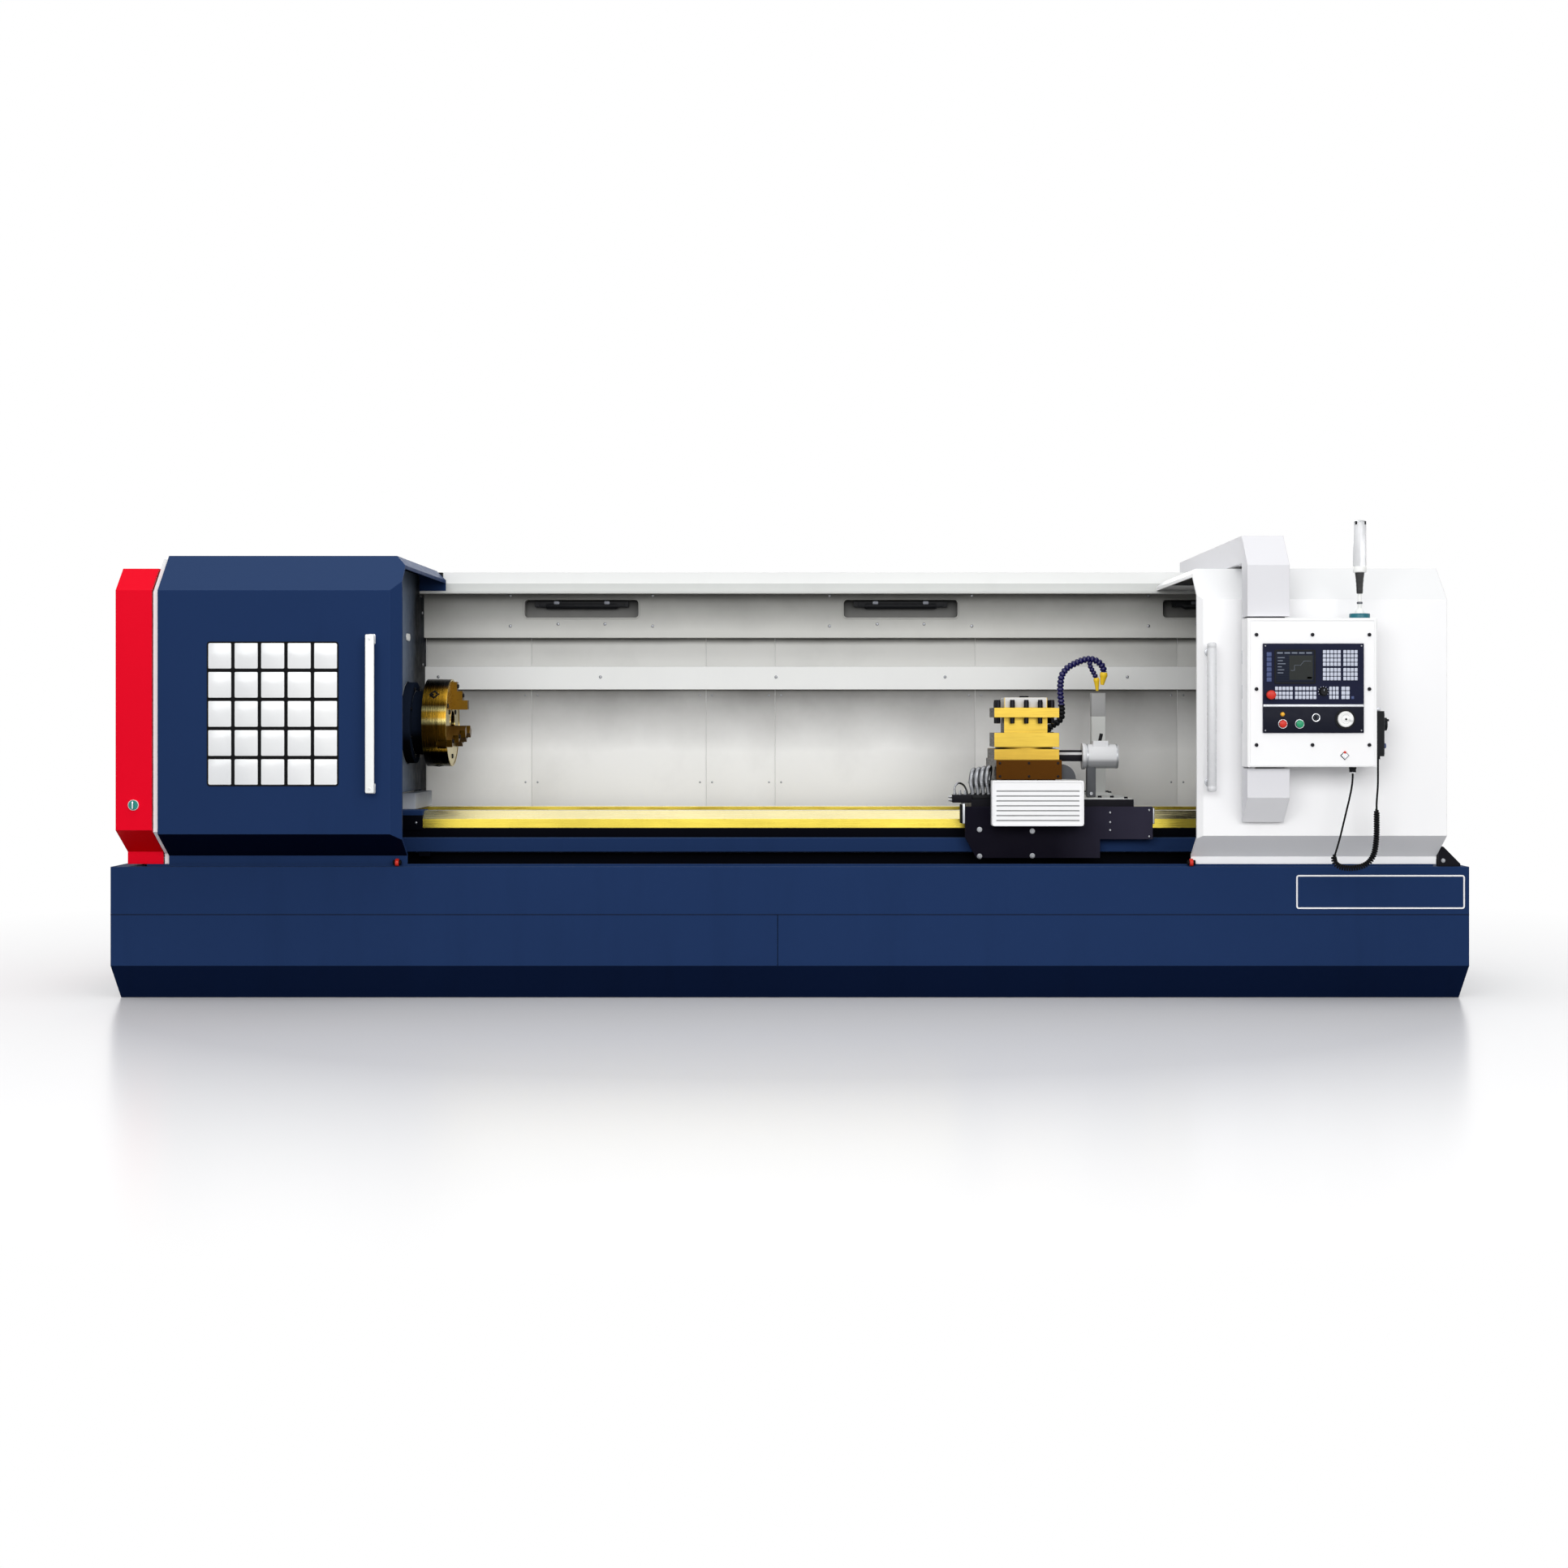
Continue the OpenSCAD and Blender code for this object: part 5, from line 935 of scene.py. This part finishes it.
def slide_details():
    """Bracket, cover and strut beside the cross slide, rings of the turret motor, and edge screws."""
    bracket = Piece("motor_bracket", "cross_slide", "black_paint", "black")
    slide_x, dome_z, dome_r = 1.2312, 0.959, 0.068
    for z0, z1 in ((1.079, 1.0885), (1.037, 1.067)):
        bracket.slab((slide_x, -0.4375, z0), (1.3462, -0.3945, z1), "z", 0.003, 0.001)
    turns = [TAU / 4 * k / 10 for k in range(11)]
    dome = [(slide_x + dome_r * math.sin(a), dome_z + dome_r * math.cos(a)) for a in turns]
    bracket.use("graphite").prism([(slide_x, dome_z), *dome], "y", -0.6, -0.47)
    bracket.slab((1.368, -0.44, 0.872), (1.409, -0.392, 1.012), "y", 0.004, 0.002)
    bracket.use("bolt").cap_screw((1.388, -0.44, 0.888), FRONT, 0.008, 0.006)
    bracket.done()
    motor = Piece("turret_motor_rings", "cross_slide", "aluminium", "alu")
    for x in (1.366, 1.502):
        motor.rod((x, -0.416, 1.06), (x + 0.007, -0.416, 1.06), 0.0572, 0.001, 48)
    motor.use("black_plastic").rod((1.43, -0.416, 1.13), (1.438, -0.416, 1.165), 0.008, sides=16)
    motor.done()
    edge = [(x, -0.64, z) for x, z in product((0.95, 1.082, 1.214), (0.972, 1.032))]
    screws("slide_screws", "cross_slide", "black_bolt", edge, FRONT, 0.006)


def turret_details():
    """Crown plate of the turret, and three clamp screws over and in each of its four slots."""
    head = Piece("turret_fittings", "turret", "turret_gold", "crown")
    half, crown_z, crown_top, row = 0.0996, 1.2842, 1.332, 0.1245
    head.slab((TURRET_X - half, TURRET_Y - half, crown_z), (TURRET_X + half, TURRET_Y + half, crown_top),
              "z", 0.006, 0.003)
    head.use("black_bolt").cap_screw((TURRET_X, TURRET_Y, crown_top), UP, 0.022, 0.008)
    for (c, s), k in product(((1, 0), (0, 1), (-1, 0), (0, -1)), (-0.064, 0.0, 0.064)):
        x, y = TURRET_X + k * c + row * s, TURRET_Y + k * s - row * c
        head.turned((x, y, crown_z), UP, [(0.0118, 0), (0.0118, 0.026), (0.0108, 0.028), (0.0108, 0.0335),
                                          (0.0098, 0.0368), (0.0052, 0.0368), (0.0048, 0.03)], 20)
        head.turned((x, y, 1.2115), UP, [(0.0078, 0), (0.0105, 0.0025), (0.0105, 0.0283)], 20)
    head.done()


# Coolant hose: points in millimetres, to the right of the turret's axis and above the spindle's

HOSE = [(140, -44), (140, -32), (154, -16), (182, 2), (200, 24), (203, 56), (201, 90), (197, 125), (196, 160),
        (198, 196), (206, 230), (230, 261), (256, 277), (281, 289), (308, 299), (334, 303), (355, 300),
        (374, 291), (390, 277), (400, 259), (403, 239)]
HOSE_TIP = [(403, 239), (402, 222), (395, 180)]
BRANCH = [(336, 290), (338, 272), (347, 252), (358, 232), (367, 213)]
BRANCH_TIP = [(367, 213), (369, 198), (372, 152)]
BEAD = (0.64, 0.92, 1.0, 1.0, 0.95, 0.8)
HOSE_Y = -0.12
HOSE_DARK_Z = 1.3


def hose_details():
    """Segmented coolant hose: a string of beads with a nozzle at each end."""
    made = Piece("coolant_hose", "cross_slide", "hose_blue", "hose")

    def placed(points):
        return [Vector((TURRET_X + x / 1000, HOSE_Y, SPINDLE_Z + z / 1000)) for x, z in points]

    for points, tip, r, pitch in ((HOSE, HOSE_TIP, 0.0168, 0.0185), (BRANCH, BRANCH_TIP, 0.0128, 0.0165)):
        line = resampled(smooth_path(placed(points), 8), pitch / len(BEAD))
        cut = next(i for i, p in enumerate(line) if p.z > HOSE_DARK_Z)
        for key, part, first in (("black_plastic", line[:cut + 1], 0), ("hose", line[cut:], cut)):
            if len(part) > 2:
                made.use(key).tube(part, [r * BEAD[(first + i) % len(BEAD)] for i in range(len(part))], 14)
        a, b, c = placed(tip)
        made.use("nozzle").tube([a, a.lerp(b, 0.5), b, b.lerp(c, 0.12), b.lerp(c, 0.6), c],
                                [r, r * 1.12, r * 1.12, r * 0.95, r * 0.72, r * 0.5], 14)
    made.use("black_plastic").slab((1.198, -0.144, 1.137), (1.246, -0.096, 1.171), "z", 0.008, 0.003)
    made.rod((1.222, HOSE_Y, 1.094), (1.222, HOSE_Y, 1.14), 0.02, sides=20)
    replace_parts(made.done(), "coolant_hoses")


# Control box

KEY_GAP = 0.0028
KEY_RISE = 0.0022
WHEEL = (2.374, 1.232)
KNOB = (2.281, 1.350)


def on_dial(centre, y, r, turn):
    """A point of a circle that faces the operator."""
    return Vector((centre[0] + r * math.cos(turn), y, centre[1] + r * math.sin(turn)))


def keys(piece, key, x0, x1, z0, z1, columns, rows):
    """A field of keys on the operator panel."""
    w, h = (x1 - x0 + KEY_GAP) / columns, (z1 - z0 + KEY_GAP) / rows
    for i, k in product(range(columns), range(rows)):
        x, z = x0 + i * w, z0 + k * h
        far = (x + w - KEY_GAP, PANEL_Y, z + h - KEY_GAP)
        piece.use(key).slab((x, PANEL_Y - KEY_RISE, z), far, "y", 0.0018, 0.0008, 2)


def key_details():
    made = Piece("panel_keys", "control_box", "panel", "key_white")
    for across, up in ((((2.279, 2.355, 5), (2.366, 2.427, 4)), ((1.459, 1.527, 4), (1.398, 1.4505, 3))),
                       (((2.075, 2.150, 5), (2.160, 2.251, 6)), ((1.318, 1.350, 2), (1.3555, 1.371, 1))),
                       (((2.306, 2.346, 3), (2.358, 2.393, 2)), ((1.318, 1.371, 3),))):
        for (x0, x1, columns), (z0, z1, rows) in product(across, up):
            keys(made, "key_white", x0, x1, z0, z1, columns, rows)
    keys(made, "key_blue", 2.039, 2.060, 1.392, 1.518, 1, 6)
    keys(made, "key_blue", 2.4, 2.412, 1.318, 1.33, 1, 1)
    made.done()


def display_details():
    """Display with bars and a stepped line, its rim, and the lower field of the panel."""
    screen = Piece("display", "control_box", "panel", "screen")
    front, back = PANEL_Y - 0.0009, PANEL_Y - 0.0005
    screen.slab((2.078, PANEL_Y - 0.0006, 1.389), (2.242, PANEL_Y, 1.523), "y", 0.003)
    screen.use("screen_field").slab((2.136, front, 1.4), (2.236, back, 1.504), "y", 0.002)
    screen.use("screen_line")
    for k, long in enumerate((0.030, 0.022, 0.034, 0.018, 0.028, 0.024)):
        z = 1.493 - 0.013 * k
        screen.slab((2.086, front, z), (2.086 + long, back, z + 0.0035))
    for k in range(5):
        x = 2.084 + 0.031 * k
        screen.slab((x, front, 1.512), (x + 0.024, back, 1.518), "y", 0.001)
    path = [(2.142, 1.44), (2.158, 1.44), (2.158, 1.462), (2.184, 1.462), (2.198, 1.48), (2.228, 1.48)]
    for (x0, z0), (x1, z1) in zip(path, path[1:]):
        screen.tube([(x0, front, z0), (x1, front, z1)], 0.0007, 6)
    screen.use("amber").slab((2.212, front, 1.405), (2.232, PANEL_Y - 0.0007, 1.413), "y", 0.001)
    screen.done()
    rim = Piece("display_rim", "control_box", "black_plastic", "black_plastic")
    rim.frame_ring(2.072, 2.248, 1.383, 1.529, PANEL_Y - 0.0027, PANEL_Y, 0.0065, 0.007)
    rim.use("alu").slab((2.0245, PANEL_Y - 0.0015, 1.2847), (2.4535, PANEL_Y + 0.0019, 1.2953), "y",
                        0.001, 0.0008)
    rim.use("panel_low").slab((2.0255, PANEL_Y - 0.0008, 1.1755), (2.4525, PANEL_Y, 1.2835), "y",
                              0.003, 0.0003)
    rim.done()


def fitting_details():
    """Collars round the controls, marks of the knob, an amber lamp and the panel's screws."""
    made = Piece("panel_fittings", "control_box", "black_plastic", "black_plastic")
    for key, (x, z), r0, r1, rise in (("black_plastic", WHEEL, 0.0345, 0.044, 0.004),
                                      ("black_plastic", (2.055, 1.336), 0.0075, 0.021, 0.0008),
                                      ("black_plastic", KNOB, 0.0148, 0.02, 0.0025),
                                      ("chrome", (2.250, 1.239), 0.0128, 0.018, 0.003),
                                      ("chrome", (2.108, 1.212), 0.0166, 0.0198, 0.003),
                                      ("chrome", (2.180, 1.212), 0.0166, 0.0198, 0.003)):
        collar = [(r0, 0), (r0, rise * 0.8), (r0 + 0.001, rise), (r1 - 0.0015, rise), (r1, rise * 0.6),
                  (r1, 0)]
        made.use(key).turned((x, PANEL_Y, z), FRONT, collar, 36, closed=True)
    for k in range(9):
        at = on_dial(KNOB, PANEL_Y, 0.0215, math.radians(-30 + 30 * k))
        made.use("key_white").rod(at, at + Vector((0, -0.0008, 0)), 0.0016, sides=10)
    made.use("amber").turned((2.107, PANEL_Y, 1.253), FRONT, [(0.0095, 0), (0.0095, 0.004), (0.008, 0.008),
                                                              (0.005, 0.0105), (0.0015, 0.0112)])
    for x, z in product((2.034, 2.444), (1.184, 1.545)):
        made.use("bolt").pan_screw((x, PANEL_Y, z), FRONT, 0.0035)
    made.done()


def box_details():
    """Bolts round the panel, and lock, gland, rear plate and hinges of the box, with a black strip that is
    painted shadow in the gap between the column and the box's top.
    """
    bolts = Piece("box_bolts", "control_box", "steel", "black_bolt")
    middle_x, middle_z = 2.236, 1.361
    for x, z in product((1.997, middle_x, 2.479), (1.593, middle_z, 1.122)):
        if (x, z) != (middle_x, middle_z):
            bolts.cap_screw((x, BOX_Y, z), FRONT, 0.0078, 0.006)
    bolts.done()
    trim = Piece("box_trim", "control_box", "chrome", "black_plastic")
    lock_x, lock_z = 2.374, 1.077
    trim.turned((lock_x, BOX_Y, lock_z), FRONT, [(0.0195, 0), (0.0195, 0.002), (0.0175, 0.003)], 4)
    lock = [(0.016, 0), (0.016, 0.003), (0.0135, 0.005), (0.006, 0.0052), (0.006, 0.002)]
    trim.use("chrome").turned((lock_x, BOX_Y - 0.003, lock_z), FRONT, lock, 4)
    trim.use("red_plastic").rod((lock_x, BOX_Y, 1.0905), (lock_x, BOX_Y - 0.0089, 1.0905), 0.0055, 0.001)
    trim.use("white").frame_ring(1.962, 2.509, 1.031, 1.662, -1.2613, -1.26, 0.01, 0.012)
    gland = [(0.0165, 0), (0.0165, 0.009), (0.0145, 0.011), (0.0145, 0.024), (0.009, 0.0278)]
    trim.use("black_plastic").turned((2.423, CORD_Y, 1.028), DOWN, gland, 12)
    trim.slab((2.035, BOX_BACK, 1.11), (2.445, BOX_BACK + 0.0026, 1.6), "y", 0.01, 0.001)
    # A black strip between the column and the box's top: painted shadow in the gap.
    trim.slab((1.969, -1.215, 1.665), (2.128, -1.14, 1.6715), "z", 0.006, 0.001)
    for z in (1.2, 1.35, 1.5):
        trim.use("chrome").rod((1.963, -1.132, z - 0.03), (1.963, -1.132, z + 0.03), 0.0055, 0.001)
    trim.done()


def control_details():
    """Faces of the handwheel, the buttons, the knob and the handset."""
    wheel = Piece("panel_wheel_face", "panel_handwheel", "white_plastic", "white_plastic")
    x, z = WHEEL
    wheel.turned((x, -1.2846, z), FRONT, [(0.0325, 0), (0.0318, 0.0018), (0.029, 0.0026), (0.0265, 0.0014),
                                          (0.012, 0.0012), (0.011, 0.0028), (0.0075, 0.0034)], 48)
    for k in range(36):
        at = on_dial(WHEEL, -1.2705, 0.0331, TAU * k / 36)
        wheel.rod(at, at + Vector((0, -0.012, 0)), 0.0011, sides=6)
    wheel.use("black_plastic").rod((x, -1.2878, z), (x, -1.2886, z), 0.0045)
    for k in range(20):
        at = on_dial(WHEEL, -1.286, 0.0192, TAU * k / 20)
        wheel.rod(at, at + Vector((0, -0.0004, 0)), 0.0009, sides=8)
    wheel.done()
    dome = ((0.98, 0), (0.95, 0.07), (0.8, 0.15), (0.45, 0.21), (0.1, 0.22))
    for name, body, key, x, z, r, d in (
            ("stop_cap", "emergency_stop", "red_plastic", 2.055, 1.336, 0.019, 0.0271),
            ("green_cap", "green_button", "green_plastic", 2.180, 1.212, 0.016, 0.0121),
            ("red_cap", "red_button", "red_plastic", 2.108, 1.212, 0.016, 0.0121)):
        cap = Piece(name, body, key, key)
        cap.turned((x, PANEL_Y - d, z), FRONT, [(r * wide, r * rise) for wide, rise in dome], 36)
        cap.done()
    knob = Piece("knob_line", "feed_knob", "white_plastic", "key_white")
    knob.slab((2.2799, -1.2856, 1.3525), (2.2821, -1.2849, 1.3605), "y", 0.0008)
    knob.done()
    hand = Piece("handset_trim", "control_box", "black_plastic", "graphite")
    face = high("mpg_handset", "x")
    hand.slab((face, -1.2285, 1.076), (face + 0.0022, -1.1617, 1.264), "x", 0.008, 0.001)
    for y in (-1.212, -1.178):
        hand.use("key_blue").rod((face + 0.0022, y, 1.118), (face + 0.011, y, 1.118), 0.011, 0.002)
    hand.use("red_plastic").rod((face + 0.0022, -1.195, 1.09), (face + 0.009, -1.195, 1.09), 0.006, 0.002)
    hand.use("bolt").slab((2.5122, -1.2, 1.266), (2.541, -1.19, 1.283), "y", 0.004, 0.001)
    hand.done()


def beacon_details():
    """Signal lamp: base, flared foot, pole with a ring, taper, collar, lens, and a cap on four posts."""
    made = Piece("beacon_lamp", "control_box", "lens", "lens")
    at = Vector((2.453, CORD_Y, 1.665))
    for key, sides, profile in (
            ("teal", 40, [(0.042, 0), (0.044, 0.002), (0.044, 0.018), (0.0425, 0.0205), (0.02, 0.0212)]),
            ("white_plastic", 32, [(0.022, 0.02), (0.0205, 0.026), (0.0165, 0.036), (0.012, 0.0405)]),
            ("white_plastic", 24, [(0.0085, 0.04), (0.0085, 0.108)]),
            ("cast", 24, [(0.009, 0.062), (0.0125, 0.064), (0.0125, 0.07), (0.009, 0.072)]),
            ("gloss_black", 32, [(0.012, 0.1065), (0.0135, 0.11), (0.0145, 0.127), (0.0138, 0.128),
                                 (0.0155, 0.145), (0.0148, 0.146), (0.0172, 0.165), (0.0165, 0.166),
                                 (0.0205, 0.195), (0.0205, 0.198)]),
            ("white_plastic", 40, [(0.024, 0.197), (0.0285, 0.199), (0.029, 0.202), (0.029, 0.221),
                                   (0.0275, 0.2235)]),
            ("lens", 40, [(0.0272, 0.2235), (0.028, 0.226), (0.028, 0.41), (0.0265, 0.416)]),
            ("steel", 40, [(0.0275, 0.414), (0.0285, 0.4145), (0.0265, 0.419), (0.02, 0.4215),
                           (0.008, 0.423)])):
        made.use(key).turned(at, UP, profile, sides)
    for k in range(4):
        a = TAU * (k + 0.5) / 4
        foot = at + Vector((0.0262 * math.cos(a), 0.0262 * math.sin(a), 0.403))
        made.use("black_plastic").rod(foot, foot + Vector((0, 0, 0.0135)), 0.0052, sides=12)
    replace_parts(made.done(), "beacon")


# Rear and ends

def cabinet_details():
    """Doors, louvres, handles, hinges and cable glands of the electrical cabinet, and its side vent."""
    made = Piece("cabinet_fittings", "machine", "black_plastic", "white")
    y = CABINET_Y
    for x0, hinge, handle in ((-2.66, -2.664, -2.145), (-2.07, -1.496, -2.015)):
        made.use("white").frame_ring(x0 + 0.012, x0 + 0.558, 0.632, 1.738, y + 0.0015, y, 0.016, 0.014)
        for k, start in product(range(8), (0.72, 1.55)):
            z = start + 0.018 * k
            # A dark slab in each louvre's opening: painted shade.
            made.use("dark_slot").slab((x0 + 0.14, y, z), (x0 + 0.43, y + 0.0006, z + 0.009))
            made.use("white").slab((x0 + 0.135, y, z + 0.008), (x0 + 0.435, y + 0.004, z + 0.012), rim=0.001)
        for key, half, out, z0, z1, corner, rim in (("black_plastic", 0.017, 0, 1.1, 1.27, 0.012, 0.002),
                                                    ("chrome", 0.008, 0.006, 1.12, 1.23, 0.007, 0.003)):
            near = (handle - half, y + out, z0)
            made.use(key).slab(near, (handle + half, y + out + 0.006, z1), "y", corner, rim)
        for z in (0.75, 1.19, 1.62):
            made.rod((hinge, y - 0.004, z - 0.035), (hinge, y - 0.004, z + 0.035), 0.007, 0.0015)
    for x in (-2.5, -2.3, -2.1):
        gland = [(0.03, 0), (0.03, 0.008), (0.024, 0.012), (0.024, 0.03), (0.014, 0.036)]
        made.use("black_plastic").turned((x, 0.49, 1.78), UP, gland, 12)
        lead = [(0.49, 1.81), (0.49, 1.835), (0.46, 1.862), (0.4, 1.868), (0.314, 1.868)]
        made.tube(smooth_path([(x, y, z) for y, z in lead]), 0.011, 12)
    # A dark slab behind the side vent: painted shade.
    made.use("dark_slot").slab((-1.4805, 0.42, 1.3), (-1.48, 0.57, 1.45), "x", 0.01)
    for k in range(7):
        z = 1.302 + 0.022 * k
        made.use("white").slab((-1.48, 0.42, z), (-1.4755, 0.57, z + 0.006), "x", rim=0.001)
    made.done()


def rear_details():
    """Access panel of the end wall, foot of the post, ribs of the rear guard and fins of the motor."""
    end = Piece("end_wall_panel", "machine", "white_paint", "white")
    face = END_X + 0.003
    end.slab((END_X, -0.72, 0.93), (face, 0.12, 1.6), "x", 0.02, 0.001)
    for y, z in product((-0.69, -0.3, 0.09), (0.96, 1.57)):
        end.use("bolt").pan_screw((face, y, z), RIGHT, 0.008)
    for k in range(9):
        z = 1.36 + 0.02 * k
        # A dark slab in each louvre's opening: painted shade.
        end.use("dark_slot").slab((face, -0.5, z), (face + 0.0005, -0.1, z + 0.009), "x")
        end.use("white").slab((face, -0.505, z + 0.008), (face + 0.004, -0.095, z + 0.012), "x", rim=0.001)
    end.use("black_plastic").slab((face, -0.37, 1.06), (face + 0.006, -0.23, 1.1), "x", 0.012, 0.002)
    end.done()
    foot = Piece("post_foot", "machine", "white_paint", "arm")
    foot.slab((1.926, 0.475, DECK), (2.187, 0.648, DECK + 0.015), "z", 0.008, 0.002)
    for x, y in product((1.945, 2.168), (0.492, 0.63)):
        foot.use("bolt").hex_bolt((x, y, DECK + 0.015), UP, 0.011)
    foot.done()
    back = Piece("guard_rear_ribs", "machine", "white_paint", "guard_white")
    rib_y = GUARD_BACK + 0.015
    for x in (-1.3, -0.43, 0.43, 1.3, 2.6):
        near = (x - 0.025, GUARD_BACK, 0.6)
        back.use("guard_white").slab(near, (x + 0.025, rib_y, 1.93), "y", 0.004, 0.002)
        for z in (0.68, 1.1, 1.5, 1.86):
            back.use("bolt").hex_bolt((x, rib_y, z), REAR, 0.008)
    back.done()
    motor = Piece("motor_fins", "machine", "motor_paint", "motor")
    for k in range(14):
        fin = [(0.1125, 0), (0.118, 0.001), (0.118, 0.006), (0.1125, 0.007)]
        motor.turned((-2.6 + 0.022 * k, 0.15, 0.98), RIGHT, fin, 48)
    motor.done()


for details in (curly_cord, base_details, work_space_details, wall_details, chuck_details, window_details,
                handle_details, cover_details, saddle_details, apron_details, conduit_details, slide_details,
                turret_details, hose_details, key_details, display_details, fitting_details, box_details,
                control_details, beacon_details, cabinet_details, rear_details):
    details()


# Finish of the solids that stay as they are: each material and its nodes

FINISH = {
    "bed_black": "bed",
    "dark_navy": "plinth",
    "navy": "skirt_panels chip_tray screw_cover left_door",
    "gold": "guideways",
    "light_grey": "headstock door_rail coolant_post tailstock",
    "white": "end_frame electrical_cabinet right_door motor_cover control_box",
    "wall": "chuck_wall",
    "motor": "spindle_motor",
    "rubber": "drive_belts",
    "guard_white": "rear_guard",
    "lamp_sheet": "light_box",
    "black_plastic": "work_lamps tailstock_handwheel feed_knob mpg_handset mpg_dial",
    "black": "z_servo_motor saddle",
    "arm": "pendant_arm",
    "nose": "spindle",
    "cast": "spindle_pulley motor_pulley",
    "chuck_gold": "chuck_body",
    "jaw_gold": "chuck_jaw_1 chuck_jaw_2 chuck_jaw_3",
    "red": "end_cover",
    "lock_teal": "end_cover_lock",
    "pane": "window_pane",
    "bars": "window_grid",
    "handle": "left_handle",
    "chrome": "right_handle",
    "steel": "ball_screw carriage_conduits quill",
    "apron": "apron",
    "bronze": "cross_slide",
    "turret_base": "turret_base",
    "motor_case": "turret_motor",
    "hose": "coolant_hoses",
    "turret_gold": "turret_head",
    "panel": "cnc_panel",
    "red_plastic": "emergency_stop red_button",
    "green_plastic": "green_button",
    "dark_iron": "key_switch",
    "white_plastic": "panel_handwheel",
    "cord": "cord_leads cord_curl",
    "lens": "beacon",
}
for key, nodes in FINISH.items():
    for node in nodes.split():
        NODES[node].data.materials.clear()
        NODES[node].data.materials.append(M[key])


# Floor and light

def make_floor():
    """Pale floor that runs out into a white surround."""
    s = Shader("floor", Roughness=0.22, Specular_IOR_Level=0.5)
    ray = s.node("ShaderNodeLightPath").outputs
    mirrored = s.math("MAXIMUM", ray["Is Glossy Ray"], ray["Is Transmission Ray"])
    seen = s.math("MAXIMUM", ray["Is Camera Ray"], mirrored)
    s.colour(s.mix(seen, linear((176, 176, 178)), linear((250, 250, 252))))
    far = s.node("ShaderNodeVectorMath", {"operation": "LENGTH"})
    s.put(far.inputs[0], s.place)
    share = s.spread(far.outputs["Value"], 0.0, 1.0, 3.2, 6.0)
    glow = s.node("ShaderNodeEmission", Color=(1, 1, 1, 1), Strength=s.spread(seen, 0.25, 1.0, 0.0, 1.0))
    blend = s.node("ShaderNodeMixShader")
    for socket, value in zip(blend.inputs, (share, s.bsdf.outputs[0], glow.outputs[0])):
        s.put(socket, value)
    s.put(s.tree.nodes["Material Output"].inputs["Surface"], blend.outputs[0])
    mesh = bpy.data.meshes.new("floor")
    reach = 60
    mesh.from_pydata([(-reach, -reach, 0), (reach, -reach, 0), (reach, reach, 0), (-reach, reach, 0)], [],
                     [(0, 1, 2, 3)])
    mesh.materials.append(s.material)
    floor = bpy.data.objects.new("floor", mesh)
    floor.location.z = -0.001
    scene.collection.objects.link(floor)


def make_world():
    """White surround for the camera and in mirrors, and a dimmer one as light."""
    world = bpy.data.worlds.new("studio")
    world.use_nodes = True
    tree = world.node_tree
    back = tree.nodes["Background"]
    back.inputs["Color"].default_value = (1, 1, 1, 1)
    path = tree.nodes.new("ShaderNodeLightPath")
    seen = path.outputs["Is Camera Ray"]
    for key in ("Is Glossy Ray", "Is Transmission Ray"):
        either = tree.nodes.new("ShaderNodeMath")
        either.operation = "MAXIMUM"
        tree.links.new(seen, either.inputs[0])
        tree.links.new(path.outputs[key], either.inputs[1])
        seen = either.outputs[0]
    level = tree.nodes.new("ShaderNodeMapRange")
    level.inputs["To Min"].default_value = 0.52
    level.inputs["To Max"].default_value = 1.0
    tree.links.new(seen, level.inputs["Value"])
    tree.links.new(level.outputs[0], back.inputs["Strength"])
    scene.world = world


def make_lamps():
    for name, place, aim, size, power in (
            ("key", (-2.2, -10.0, 4.4), (-0.4, 0, 1.0), (6, 4), 330),
            ("fill", (4.2, -10.0, 3.6), (0.5, 0, 1.0), (6, 4), 285),
            ("top", (0, -2.2, 6.5), (0, -0.6, 0.5), (8, 3), 110),
            ("back", (0, 8.5, 4.5), (0, 0, 1.0), (8, 4), 340)):
        data = bpy.data.lights.new(name, "AREA")
        data.shape = "RECTANGLE"
        data.size, data.size_y = size
        data.energy = power
        lamp = bpy.data.objects.new(name, data)
        lamp.location = place
        lamp.rotation_euler = (Vector(aim) - Vector(place)).to_track_quat("-Z", "Y").to_euler()
        scene.collection.objects.link(lamp)


make_floor()
make_world()
make_lamps()
scene.view_settings.view_transform = "Standard"
